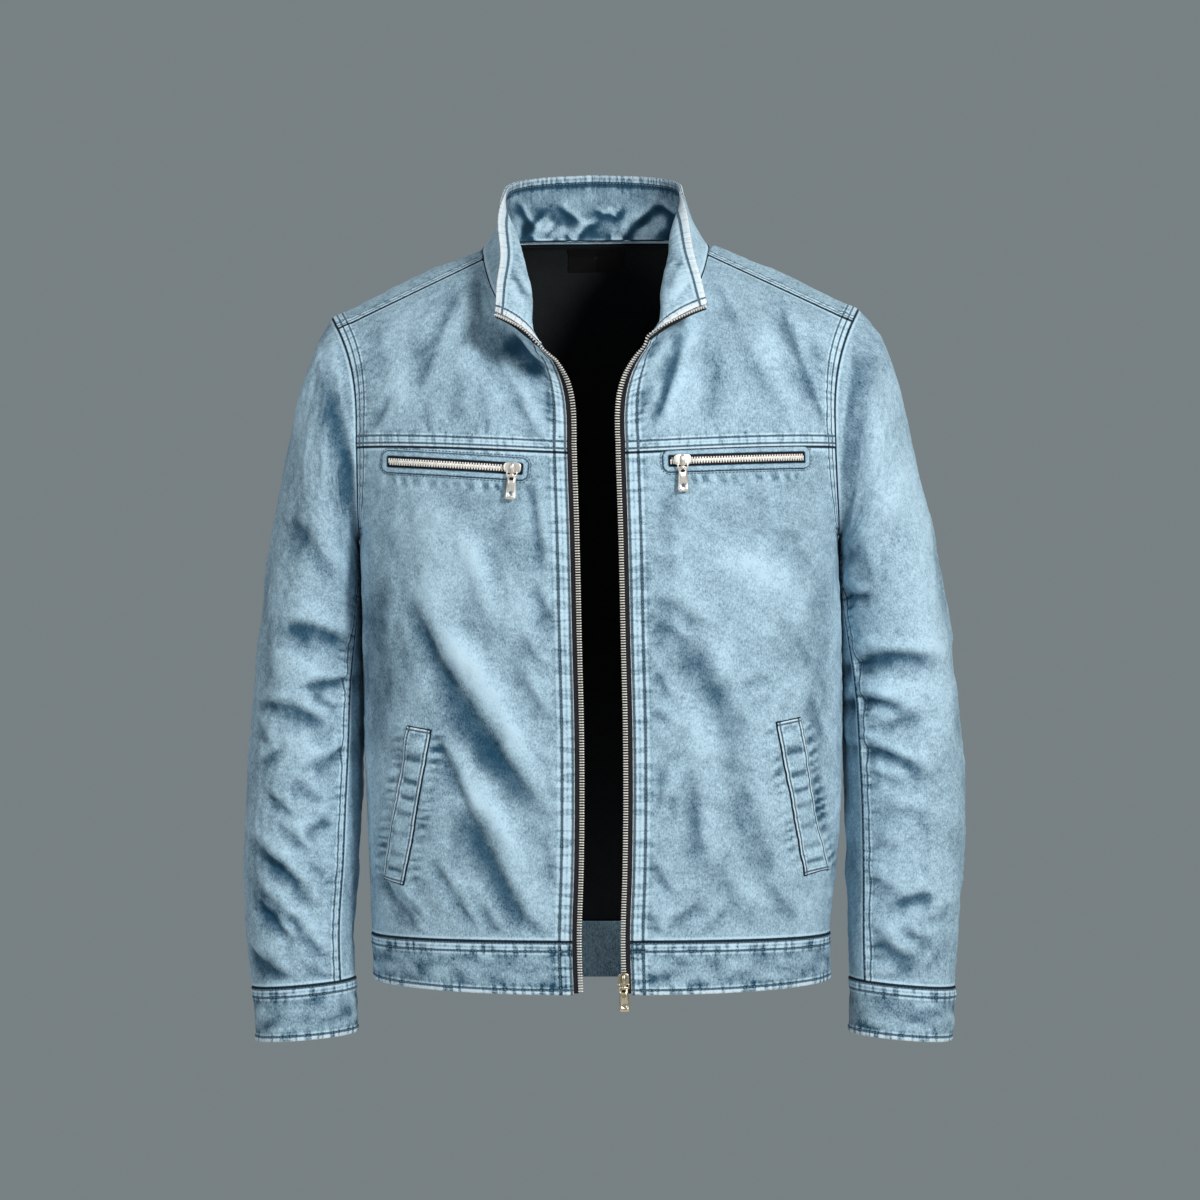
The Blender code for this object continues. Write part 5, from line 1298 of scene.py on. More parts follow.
# The collar's creases on each part: how strong they are, and how much flatter their relief is than their
# painted shade.
COLLAR_CREASED = {"back": (2.3, 0.10), "wings": (1.6, 0.2)}
# Painted shading of the collar: painted light on the wings, painted shade on the inner face at the back of
# the neck, and a painted shadow line under its top row.
WINGS_PALER, NECK_DARKER, UNDER_ROW_DARKER = 0.3, 0.42, 1.0
UNDER_ROW_AT, UNDER_ROW_WIDTH = 0.0092, 0.0014
BACK_CREASED = 0.8
BACK_STEP = 1.25 * STEP
# The lining is coarse and ends a little inside the back's seams.
LINING_STEP = 3 * STEP
LINING_CLIMB, LINING_SHARE = (0.003, 2.98), (-0.916, 0.916)


def front_cloth(label, side):
    """Lower front: creases, puckers beside both pockets, and felled seams at the opening and armhole."""
    felled = {"first_column": FRONT_ROWS_SEWN, "last_column": ARMHOLE_ROWS_SEWN}
    cloth = Cloth(f"front_{label}_cloth", partial(front_point, side), (0, 2), (0, 1), (side * 0.3, -1, 0),
                  felled, {"first_column": EDGE_WEAR}, seed=11 + side)
    climb = cloth.row[:, -1]
    above_pit = (climb > 1)[:, None]
    cloth.only["last_column"] = above_pit
    normals = armhole_normal(side, armhole_turn(body_level(climb)))
    cloth.bend_normals("last_column", normals, above_pit)
    quiet = cloth.calm(0.001, 0.010) * cloth.calm(0.016, 0.020, ("last_row",))
    cloth.crease(FRONT_CREASES[label], quiet)
    x, z = cloth.points[..., 0], cloth.points[..., 2]
    chest, hand = CHEST_POCKETS[label], HAND_POCKETS[label]
    for up, width in CHEST_PUCKERS:
        start, end = (np.add(chest[place], (0, up)) for place in ("inner", "outer"))
        relief = puckers(x, z, start, end, CHEST_PUCKER_PITCH, width, 7)
        cloth.fold(CHEST_PUCKER_DEPTH * relief, CHEST_PUCKER_SHADING)
    for way in (-1, 1):
        aside = (way * (hand["width"] / 2 + HAND_PUCKER_BESIDE), 0)
        start, end = (np.add(hand[place], aside) for place in ("top", "bottom"))
        relief = puckers(x, z, start, end, HAND_PUCKER_PITCH, HAND_PUCKER_WIDTH, 9 + way)
        cloth.fold(HAND_PUCKER_DEPTH * relief, HAND_PUCKER_SHADING)
    cloth.soften(0.0008, 0.026, 0.080)
    cloth.fell()
    return cloth


def yoke_cloth(label, side):
    """Upper front, from the chest seam to the shoulder seam and neckline."""
    def surface(rise, share):
        return lean(upper(side, "front", share, rise))

    felled = {"first_row": YOKE_ROWS_SEWN, "first_column": FRONT_ROWS_SEWN, "last_column": ARMHOLE_ROWS_SEWN}
    cloth = Cloth(f"front_yoke_{label}_cloth", surface, (0, 1), (0, 1), (side * 0.3, -1, 0.3),
                  felled, {"first_column": EDGE_WEAR}, seed=21 + side)
    cloth.bend_normals("last_column", armhole_normal(side, armhole_turns("front", cloth.row[:, -1])))
    cloth.crease(YOKE_CREASES[label], 0.85 * cloth.calm(0.001, 0.008), 0.6)
    cloth.soften(0.0007, 0.024, 0.070)
    cloth.fell()
    return cloth


def back_cloth():
    """Whole back with its shoulders, felled at both armholes and along the shoulder seams."""
    felled = {"first_column": ARMHOLE_ROWS_SEWN, "last_column": ARMHOLE_ROWS_SEWN,
              "last_row": SHOULDER_ROWS_SEWN}
    cloth = Cloth("back_cloth", back_point, (0, 3), (-1, 1), (0, 1, 0), felled, seed=31, step=BACK_STEP)
    for edge, side, column in (("first_column", -1, 0), ("last_column", 1, -1)):
        climb = cloth.row[:, column]
        on_shoulder = armhole_turns("back", np.clip(climb - 2, 0, 1))
        turns = np.where(climb > 2, on_shoulder, -armhole_turn(body_level(climb)))
        cloth.bend_normals(edge, armhole_normal(side, turns), (climb > 1)[:, None])
    quiet = cloth.calm(0.001, 0.010) * cloth.calm(0.008, 0.030, ("last_row",))
    cloth.crease(BACK_CREASES, BACK_CREASED * quiet, BACK_FLATTER)
    cloth.soften(0.0005, 0.030, 0.080)
    cloth.fell()
    return cloth


def lining_cloth():
    """Back lining: it follows the back's folds inside it."""
    cloth = Cloth("lining_cloth", back_point, LINING_CLIMB, LINING_SHARE, (0, 1, 0),
                  seed=41, step=LINING_STEP)
    cloth.crease(BACK_CREASES, BACK_CREASED * cloth.calm(0.001, 0.010), BACK_FLATTER)
    return cloth


def band_folds(cloth, seed, edges=EDGES):
    """Slanted wrinkles of a hem or cuff band, and its felled rows."""
    ripples = BAND_RIPPLE * slanted(cloth.u, cloth.v, seed)
    cloth.fold(ripples * cloth.calm(0.002, 0.005, edges), BAND_RIPPLE_SHADING)
    cloth.fell(proud=0.0003)


def hem_cloth():
    """Hem band, open at the front."""
    def surface(down, share):
        return band_point(share, down)

    felled = {"first_row": BAND_ROWS_SEWN, "last_row": EDGE_ROW_SEWN,
              "first_column": FRONT_ROWS_SEWN, "last_column": FRONT_ROWS_SEWN}
    cloth = Cloth("hem_band_cloth", surface, (0, 1), (-2, 2), felled=felled,
                  free=dict.fromkeys(("last_row", "first_column", "last_column"), EDGE_WEAR), seed=51)
    cloth.face_away_from(cloth.points * (0, 0, 1))
    band_folds(cloth, 52)
    return cloth


def sleeve_cloth(label, side, part):
    """Top or under sleeve; its hidden half has the other sleeve's creases."""
    def surface(run, across):
        return lean(sleeve(side, run, sleeve_turn(run, across, part)))

    on_top = part == "top"
    cloth = Cloth(f"sleeve_{part}_{label}_cloth", surface, (0, CUFF_TOP), (0, 1),
                  felled={"last_column": FOREARM_ROWS_SEWN} if on_top else {}, seed=61 + side + 4 * on_top)
    turn = sleeve_turn(cloth.row, cloth.column, part)
    outer, inner = (sleeve(side, cloth.row, 0 * turn + opposite) for opposite in (0, math.pi))
    cloth.face_away_from(lean((outer + inner) / 2))
    cloth.bend_normals("first_row", armhole_normal(side, turn[0]))
    quiet, facing_back = cloth.calm(0.001, 0.008), cloth.normals[..., 1]
    cloth.crease(SLEEVE_CREASES[label], quiet * ease(-HALF_FADE * facing_back))
    mirrored = np.array(SLEEVE_CREASES["left" if label == "right" else "right"]) * (-1, 1, -1, 1, -1, -1, 1)
    cloth.crease(mirrored, quiet * ease(HALF_FADE * facing_back), 0.8)
    cloth.soften(0.0009, 0.035, 0.090)
    cloth.fell(wave=0.0005)
    return cloth


def cuff_cloth(label, side):
    """Cuff band, closed round the wrist."""
    def surface(run, turn):
        return lean(sleeve(side, run, turn))

    cloth = Cloth(f"cuff_{label}_cloth", surface, (CUFF_TOP, CUFF_END), (0, 2 * math.pi),
                  felled={"first_row": BAND_ROWS_SEWN, "last_row": EDGE_ROW_SEWN},
                  free={"last_row": EDGE_WEAR}, closed=True, seed=71 + side)
    cloth.face_away_from(cloth.points.mean(1, keepdims=True))
    band_folds(cloth, 72 + side, ("first_row", "last_row"))
    return cloth


def collar_cloth(outer):
    """One ply of the collar; the inner one faces the neck and lies behind the outer."""
    def surface(height, along):
        return collar_point(along, height)

    edges = tuple(COLLAR_ROWS_SEWN)
    cloth = Cloth("collar_outer_cloth" if outer else "collar_inner_cloth", surface, (0, 1),
                  (-BACK_STATION, BACK_STATION), felled=COLLAR_ROWS_SEWN,
                  free=dict.fromkeys(edges, COLLAR_WEAR), seed=81 + outer)
    cloth.face_away_from(cloth.points * (0, 0, 1))
    calm = cloth.calm(0.007, 0.006, edges)
    behind = ease(0.3 + 30 * cloth.points[..., 1])
    # Painted light on the wings.
    cloth.shade = cloth.shade + WINGS_PALER * (1 - behind)
    if not outer:
        cloth.points = cloth.points - cloth.normals * (2 * PLY + PLY_GAP)
        cloth.normals = -cloth.normals
        for part, where in (("back", behind), ("wings", 1 - behind)):
            strength, flatter = COLLAR_CREASED[part]
            cloth.crease(COLLAR_CREASES[part], calm * where * strength, flatter)
        # Painted shade on the inner face behind the neck, darkest in a line under the top row.
        under_row = bell((cloth.away["last_row"] - UNDER_ROW_AT) / UNDER_ROW_WIDTH)
        cloth.shade = cloth.shade - behind * (NECK_DARKER + UNDER_ROW_DARKER * under_row)
    cloth.fold(0.0002 * crumple(cloth.u, cloth.v, 82 + outer, 0.012, 0.04) * calm, 500)
    cloth.fell(proud=0, pitch=0.0060)
    return cloth


# ---- build ----
cloths = {}
for label, side in SIDES.items():
    cloths[f"front_{label}"] = front_cloth(label, side)
    cloths[f"yoke_{label}"] = yoke_cloth(label, side)
    cloths[f"sleeve_top_{label}"] = sleeve_cloth(label, side, "top")
    cloths[f"sleeve_under_{label}"] = sleeve_cloth(label, side, "under")
    cloths[f"cuff_{label}"] = cuff_cloth(label, side)
cloths["back"] = back_cloth()
cloths["lining"] = lining_cloth()
cloths["hem"] = hem_cloth()
cloths["collar_outer"] = collar_cloth(True)
cloths["collar_inner"] = collar_cloth(False)
for cloth in cloths.values():
    cloth.roll_edges()

SHELL = {"thickness": DENIM, "finishes": (DENIM_CLOTH, LINING)}
BAND = {"thickness": BAND_THICK, "finishes": (DENIM_LOW, DENIM_LOW), "proud": BAND_PROUD}
INSIDE = {"thickness": LINING_THICK, "finishes": (LINING, LINING), "proud": -LINING_INSET, "slot": "lining"}
OUTER_PLY = {"thickness": PLY, "finishes": (DENIM_COLLAR, DENIM_COLLAR)}
INNER_PLY = {"thickness": PLY, "finishes": (DENIM_COLLAR, DENIM_NECK)}
# columns: the cloth, its kind, its CAD node, flat width and length, area, and what it is sewn to
PIECES = [
    row for label in SIDES for row in (
        (f"front_{label}", SHELL, f"front_{label}", (0.26, 0.465), 0.106, f"front_yoke_{label}_cloth"),
        (f"yoke_{label}", SHELL, f"front_yoke_{label}", (0.29, 0.20), 0.030, "back_cloth"),
        (f"sleeve_top_{label}", SHELL, f"sleeve_top_{label}", (0.44, 0.63), 0.150, "back_cloth"),
        (f"sleeve_under_{label}", SHELL, f"sleeve_under_{label}", (0.113, 0.49), 0.044, "back_cloth"),
        (f"cuff_{label}", BAND, f"cuff_{label}", (0.30, 0.048), None, f"sleeve_top_{label}_cloth"))
] + [
    ("back", SHELL, "back", (0.64, 0.70), 0.33, "collar_outer_cloth"),
    ("lining", INSIDE, "lining_back", (0.585, 0.69), 0.296, "back_cloth"),
    ("hem", BAND, "hem_band", (1.01, 0.05), 0.0466, "back_cloth"),
    ("collar_outer", OUTER_PLY, "collar_outer", (0.65, 0.062), 0.037, "back_cloth"),
    ("collar_inner", INNER_PLY, "collar_inner", (0.65, 0.062), 0.037, "back_cloth"),
]
for key, kind, node, flat, area, sewn_to in PIECES:
    cloths[key].make(**kind, nodes=(node,), flat=flat, area=area, rests_on=(sewn_to,))
# The inner collar shows its own finish at the back of the neck alone.
for face in bpy.data.objects["collar_inner_cloth"].data.polygons:
    face.material_index = int(face.center[1] > 0)

for part in ("front", "yoke", "sleeve_top", "cuff"):
    stitches(f"{part}_stitches", [row for label in SIDES for row in cloths[f"{part}_{label}"].sewn()])
stitches("back_stitches", cloths["back"].sewn())
stitches("band_stitches", cloths["hem"].sewn())
stitches("collar_stitches", cloths["collar_outer"].sewn() + cloths["collar_inner"].sewn())


# ---- front zip ----
def front_edge(side, foot):
    """(points, outward directions, normals) up the front edge: hem band, front, yoke, collar.

    The directions are smoothed over the solids' own rows, and the points lie on the cloth between them.
    """
    near = np.array([0, EDGE_NEAR])
    climbs = np.append(np.linspace(0, 1, 8), [4 / 3, 5 / 3, 2])
    rises = np.linspace(0, 1, 7)
    heights = np.array([0, 0.2, 0.4, 0.6, 0.8, ZIP_TOP])

    def lines(downs, climb, rise, height):
        """Pairs of points, on the edge and just inside it, at those places of the four pieces."""
        pieces = [band_point(side * (2 - near), np.full(2, down)) for down in downs]
        pieces += [front_point(side, np.full(2, at), near) for at in climb]
        pieces += [lean(upper(side, "front", near, np.full(2, at))) for at in rise]
        pieces += [collar_point(side * (BACK_STATION - 2 * near), np.full(2, at)) for at in height]
        return np.array(pieces)

    pairs = lines([foot], climbs[:-1], rises, heights[1:])
    edge, outward = pairs[:, 0], unit(pairs[:, 0] - pairs[:, 1])
    for _ in range(3):
        outward[1:-1] = unit(outward[:-2] + 2 * outward[1:-1] + outward[2:])
    tangent = unit(np.gradient(edge, axis=0))
    outward = unit(outward - tangent * np.sum(outward * tangent, -1, keepdims=True))
    normals = np.cross(tangent, outward) * side
    fine = [np.linspace(foot, 0, 24)[:-1], np.linspace(0, 2, 200)[:-1], np.linspace(0, 1, 70)[:-1],
            np.linspace(0, ZIP_TOP, 30)]
    places = np.concatenate([
        np.interp(-fine[0], [-foot, 0], [0, 1]), np.interp(fine[1], climbs, np.arange(1, 12)),
        np.interp(fine[2], rises, np.arange(11, 18)), np.interp(fine[3], heights, np.arange(17, 23))])
    knots = np.arange(len(edge))
    return lines(*fine)[:, 0], unit(through(knots, outward, places)), unit(through(knots, normals, places))


def tooth(length, width, height):
    """Zip tooth: rounded rings outwards along x from a broad foot to a blunt, slightly waisted head."""
    along = np.array([0.0, 0.25, 0.55, 0.85, 1.0]) * length
    size = np.array([0.90, 0.90, 0.78, 1.0, 0.55])
    outline = oval(width, height, 0.7, 8)
    vertices = np.concatenate([np.column_stack([np.full(8, x), outline * k]) for x, k in zip(along, size)])
    return vertices, outward_faces(vertices, loop_faces(5, 8))


TOOTH_PITCH = 0.0023
TOOTH_SIZE = (TEETH_WIDTH + 0.0006, 0.0014, 0.0024)
# The tape's middle plane lies this far under the front's outer face.
TAPE_SUNK = 0.0009
# Over these heights the teeth tuck in behind the turned-back wings of the collar.
WING_FROM, WING_OVER, WING_TUCK = -0.094, 0.018, 0.9


def front_zip(label, side):
    """Woven tape along the edge, with a corded rim that carries one row of metal teeth."""
    edge, outward, normals = front_edge(side, ZIP_FOOT)
    tape = oval(TAPE_WIDTH - SEAM_GAP, 0.0010, 0.35, 16) + ((TAPE_WIDTH + SEAM_GAP) / 2, -TAPE_SUNK)
    cord = oval(0.0016, 0.0017, 1.0, 10) + (TAPE_WIDTH - 0.0004, -TAPE_SUNK)
    for name, profile, nodes in (("tape", tape, (f"zip_tape_{label}",)), ("cord", cord, ())):
        grid = carried(edge, outward, normals, profile)
        around = summed(grid, 1)[:, :1] + np.arange(len(profile)) * 0.0006
        uv = np.stack(np.broadcast_arrays(around, summed(grid, 0)), -1)
        plain_object(f"zip_{name}_{label}_woven", *tube(grid), TAPE, nodes, "tape", uv=uv)
    edge, outward, normals = front_edge(side, TEETH_FOOT if side > 0 else ZIP_FOOT)
    places, (out, up), _ = resampled(edge, [outward, normals], TOOTH_PITCH)
    tucked = -WING_TUCK * ease((places[:, 2:] - WING_FROM) / WING_OVER)
    out, up = unit(out + up * tucked), unit(up - out * tucked)
    places = places + out * TAPE_WIDTH - up * TAPE_SUNK
    teeth = repeated(tooth(*TOOTH_SIZE), places, (out, unit(np.cross(up, out)), up))
    plain_object(f"zip_teeth_{label}_metal", *teeth, TEETH, (f"zip_teeth_{label}",), "teeth")


# ---- pockets ----
def front_share(x, z):
    """(level, share) on a front panel of a place x, z measured from the origin."""
    level = z
    for _ in range(3):
        start, end = edge_angle(z), side_angle(z, "front")
        sine = np.clip(np.abs(x - torso_size(z, "centre_x")) / ring_half_width(z, "front"), 0, 1)
        share = np.clip((np.arcsin(sine ** (1 / RING_POWER)) - start) / (end - start), 0, 1)
        level = z + seam_dip(share, level)
    return level, share


def on_front(label, x, z):
    """(points, normals) at places x, z on the front cloth as it lies, between its grid's own points."""
    cloth = cloths[f"front_{label}"]
    level, share = front_share(x, z)
    rows, columns = cloth.row[:, 0], cloth.column[0]
    row = np.clip(np.interp(level, body_level(rows), np.arange(len(rows))), 0, len(rows) - 1.001)
    column = np.clip(np.interp(share, columns, np.arange(len(columns))), 0, len(columns) - 1.001)
    i, j = row.astype(int), column.astype(int)
    u, v = (row - i)[..., None], (column - j)[..., None]
    corners = ((i, j, (1 - u) * (1 - v)), (i + 1, j, u * (1 - v)),
               (i, j + 1, (1 - u) * v), (i + 1, j + 1, u * v))
    points, normals = (sum(grid[a, b] * weight for a, b, weight in corners)
                       for grid in (cloth.raised(), cloth.normals))
    return points, unit(normals)


def patch(label, start, end, across, along):
    """Places on a front: along is 0 to 1 from start to end, across in metres, upwards or outwards."""
    start, end = np.array(start), np.array(end)
    way = unit(end - start) * (1 if abs(end[0] - start[0]) > abs(end[1] - start[1]) else -1)
    square = np.array([-way[1], way[0]]) * SIDES[label]
    places = start + (end - start) * np.asarray(along)[..., None] + square * np.asarray(across)[..., None]
    return on_front(label, places[..., 0], places[..., 1])


def slot_outline(length, half, radius, out, corner=7, step=0.002):
    """Rounded rectangle round a slot, out beyond its edge: (along, across) from the slot's start."""
    ends, sides = length / 2 - radius, half - radius
    corners = np.array([(ends, sides), (-ends, sides), (-ends, -sides), (ends, -sides)])
    turn, centre = [], []
    for quarter, (here, after) in enumerate(zip(corners, np.roll(corners, -1, axis=0))):
        turn.append(np.linspace(quarter, quarter + 1, corner) * math.pi / 2)
        centre.append(np.tile(here, (corner, 1)))
        count = max(int(math.dist(here, after) / step), 2)
        move = np.linspace(0, 1, count + 1)[1:-1, None]
        turn.append(np.full(len(move), (quarter + 1) * math.pi / 2))
        centre.append(here * (1 - move) + after * move)
    turn, centre = np.concatenate(turn), np.concatenate(centre)
    outline = centre + (radius + out) * np.stack([np.cos(turn), np.sin(turn)], -1)
    return outline + (length / 2, 0)


SLOT_ROUND = 0.0020
# The frame of a slot: how far it goes in over the tape, its height, and how much it waves.
WELT_OVER, WELT_HIGH, WELT_CENTRE, WELT_WAVE = 0.0010, 0.0016, 0.0007, 0.00022
# Painted shading of a slot's frame: a little painted light all round, and painted shade at its inner and
# outer edges.
WELT_SHADE, WELT_EDGE_SHADE = 0.15, 2.4
SLOT_TAPE_HALF = 0.0004
CHAIN_PITCH, CHAIN_MARGIN, CHAIN_PROUD = 0.0012, 0.002, 0.0011
# A tooth of the closed chain starts this far beside its middle and reaches over it.
CHAIN_TOOTH, CHAIN_ASIDE = (0.0043, 0.0018, 0.0014), 0.0029
# The rows round a slot lie this far inside and outside the frame's edge, the first on top of the frame.
ROW_INSIDE, ROW_OUTSIDE, ROW_ON_WELT = 0.0010, 0.0014, 0.0013
HAND_WELT_PROUD, HAND_WELT_THICK, HAND_WELT_STEP = 0.0013, 0.0011, 0.0012


def slot_length(pocket):
    """Length of a chest pocket's slot."""
    return float(np.hypot(*np.subtract(pocket["outer"], pocket["inner"])))


def round_slot(label, pocket, out):
    """(points, normals) on the front once round a slot, out beyond its edge."""
    length = slot_length(pocket)
    outline = slot_outline(length, SLOT_HALF, SLOT_ROUND, out)
    return patch(label, pocket["inner"], pocket["outer"], outline[:, 1], outline[:, 0] / length)


def chest_welt(label, pocket):
    """Rounded frame of a slot, a little wavy, with painted shade where it meets the panel and the tape."""
    profile = oval(WELT_RIM + WELT_OVER, WELT_HIGH, 0.6, 16) + (WELT_RIM / 2 - WELT_OVER / 2, WELT_CENTRE)
    ring = []
    for out, up in profile:
        points, normals = round_slot(label, pocket, out)
        along = np.linspace(0, 2 * slot_length(pocket), len(points))
        wave = WELT_WAVE * ruffle(along, 0.007, 5) * (up > 0.0008)
        ring.append(points + normals * (up + wave)[:, None])
    grid = np.stack(ring, 1)
    uv = np.stack([summed(grid, 1), summed(grid, 0)], -1)
    # Painted shade at the frame's inner and outer edges, and a little painted light elsewhere.
    at_edges = np.abs(np.cos(np.arange(len(profile)) * math.pi / 8))[None] ** 3
    shade = WELT_SHADE - WELT_EDGE_SHADE * at_edges + 0 * grid[..., 0]
    plain_object(f"chest_welt_{label}_cloth", *tube(grid, round_rows=True), DENIM_CLOTH,
                 (f"chest_welt_{label}",), uv=uv, shade=shade)


def chest_zip(label, pocket):
    """Tape across a slot, and on its middle line the closed chain, its teeth from both sides by turns."""
    inner, outer = pocket["inner"], pocket["outer"]
    along = np.linspace(0, 1, 60)
    across = np.array([-1, -0.5, 0, 0.5, 1]) * SLOT_HALF
    points, normals = patch(label, inner, outer, across[:, None] + 0 * along, along + 0 * across[:, None])
    faces = points[:, :, None] + normals[:, :, None] * np.array([SLOT_TAPE_HALF, -SLOT_TAPE_HALF])[:, None]
    grid = np.concatenate([faces[:, :, 0], faces[::-1, :, 1]]).swapaxes(0, 1)
    uv = np.stack([summed(grid, 1), summed(grid, 0)], -1)
    plain_object(f"chest_tape_{label}_woven", *tube(grid), TAPE, (f"chest_tape_{label}",), "tape", uv=uv)
    line, up = patch(label, inner, outer, 0 * along, along)
    places, (up,), ahead = resampled(line, [up], CHAIN_PITCH, CHAIN_MARGIN)
    cross = unit(np.cross(up, ahead))
    hand = np.where(np.arange(len(places)) % 2, 1.0, -1.0)[:, None]
    places = places + up * CHAIN_PROUD + cross * hand * CHAIN_ASIDE
    teeth = repeated(tooth(*CHAIN_TOOTH), places, (-cross * hand, ahead, up * hand))
    plain_object(f"chest_teeth_{label}_metal", *teeth, CHAIN, (f"chest_teeth_{label}",), "teeth")


def slot_rows(label, pocket):
    """The two stitched rows round a slot: one on its welt, one on the panel beside it."""
    rows = []
    for out, rise in ((WELT_RIM - ROW_INSIDE, ROW_ON_WELT), (WELT_RIM + ROW_OUTSIDE, 0)):
        points, normals = (np.concatenate([line, line[:1]]) for line in round_slot(label, pocket, out))
        rows.append((points + rise * normals, normals))
    return rows


def hand_pocket(label, pocket):
    """Welt of a slanted hand pocket, stitched down on all sides and puckered across."""
    def surface(along, across):
        points, normals = patch(label, pocket["top"], pocket["bottom"], across * pocket["width"], along)
        return points + normals * HAND_WELT_PROUD

    felled = dict.fromkeys(("first_column", "last_column", "first_row", "last_row"), WELT_ROW_SEWN)
    cloth = Cloth(f"hand_welt_{label}_cloth", surface, (0, 1), (-0.5, 0.5), (pocket["side"] * 0.3, -1, 0),
                  felled, seed=91, step=HAND_WELT_STEP)
    inside = cloth.calm(0.003, 0.004, ("first_column", "last_column"))
    cloth.fold(0.0006 * np.clip(ruffle(cloth.v, 0.0165, 3), -1, 0.4) * inside, 1000)
    # Painted shade along the welt's edges, and a paler rim just inside them.
    seam = cloth.seam_distance()
    cloth.shade = cloth.shade - 2.2 * bell(seam / 0.0010) + 0.9 * bell((seam - 0.0019) / 0.0009)
    cloth.fell(proud=0.0002, wave=0.0002)
    cloth.roll_edges(radius=0.0012, drop=0.0010)
    cloth.make(HAND_WELT_THICK, (DENIM_CLOTH, DENIM_CLOTH), nodes=(f"hand_welt_{label}",),
               flat=(pocket["width"], 0.138), rests_on=(f"front_{label}_cloth",))
    return cloth.sewn()


# ---- sliders and pulls ----
def pebble(size, centre, power, rows=14, columns=24):
    """Rounded block: signed powers of two turns, with both poles closed."""
    up = np.linspace(-math.pi / 2, math.pi / 2, rows)
    turn = np.arange(columns) * 2 * math.pi / columns
    level, flat = signed_power(np.sin(up), power)[1:-1], signed_power(np.cos(up), power)[1:-1]
    x = flat[:, None] * signed_power(np.cos(turn), power) * size[0] / 2
    y = flat[:, None] * signed_power(np.sin(turn), power) * size[1] / 2
    z = np.broadcast_to(level[:, None], x.shape) * size[2] / 2
    vertices = np.stack([x, y, z], -1).reshape(-1, 3) + centre
    count = len(vertices)
    poles = [np.add(centre, (0, 0, end * size[2] / 2)) for end in (-1, 1)]
    vertices = np.concatenate([vertices, poles])
    after = (np.arange(columns) + 1) % columns
    faces = loop_faces(rows - 2, columns, caps=False)
    faces += [[count, int(after[k]), k] for k in range(columns)]
    last = (rows - 3) * columns
    faces += [[count + 1, last + k, last + int(after[k])] for k in range(columns)]
    return vertices, outward_faces(vertices, faces)


def hoop(points, across, radius, count=10):
    """Round bar carried along a line, closed by its two ends."""
    ahead = unit(np.gradient(points, axis=0))
    aside, up = np.broadcast_to(across, points.shape), unit(np.cross(ahead, across))
    return tube(carried(points, aside, up, oval(2 * radius, 2 * radius, 1.0, count)))


def plate(outline, hole, thickness, bevel):
    """Flat tab with a hole: a rounded section carried round between the hole's edge and the outline."""
    sections = []
    for mix, up in ((0, -0.5), (1, -0.5), (1, 0.0), (1, 0.5), (0, 0.5), (0, 0.0)):
        ring = outline * mix + hole * (1 - mix)
        inwards = unit(hole - outline) * (1 if mix else -1)
        ring = ring + inwards * bevel * (up != 0)
        sections.append(np.column_stack([ring[:, 0], np.full(len(ring), up * thickness), ring[:, 1]]))
    return tube(np.stack(sections, 1), round_rows=True)


def pull_frames():
    """Each pull's pin, as the joints have it: its body, place, axes along the pin, into the cloth and up."""
    found = {}
    for joint in frame["record"]["behaviour"]["joints"]:
        along = unit(-np.array(joint["axis"], float))
        up = unit(np.array([0, 0, 1.0]) - along * along[2])
        found[joint["child"]] = (np.array(joint["pos_m"], float), along, np.cross(up, along), up)
    return found


def set_in(shape, frame_axes):
    """A shape carried from its own axes to a place with three axes."""
    vertices, faces = shape
    place, *axes = frame_axes
    return place + sum(axis * vertices[:, i:i + 1] for i, axis in enumerate(axes)), faces


PULL_OUTLINE = np.array([
    (0.0036, -0.0006), (0.0037, -0.0030), (0.0038, -0.0055), (0.0040, -0.0085), (0.0042, -0.0120),
    (0.0044, -0.0160), (0.0045, -0.0188), (0.0042, -0.0203), (0.0024, -0.0207)])
PULL_HOLE = (0.0030, 0.0030, -0.0152)
# Size of the near-black piece that paints the shadow inside the pull's eye, below the pin.
PULL_HOLE_SHADOW = (0.0040, 0.0004, 0.0026)
PULL_THICK, PULL_BEVEL = 0.0012, 0.00025
# The rolled eye and the slider's bridge are round bars, drawn out sideways.
BAR_RADIUS = 0.0006
EYE_RADIUS, EYE_STRETCH, BRIDGE_STRETCH = 0.0013, 3.2, 2.4
PIN_HALF, PIN_RADIUS = 0.0044, 0.0007


def stretched(shape, times):
    """A shape drawn out sideways."""
    vertices, faces = shape
    return vertices * (times, 1, 1), faces


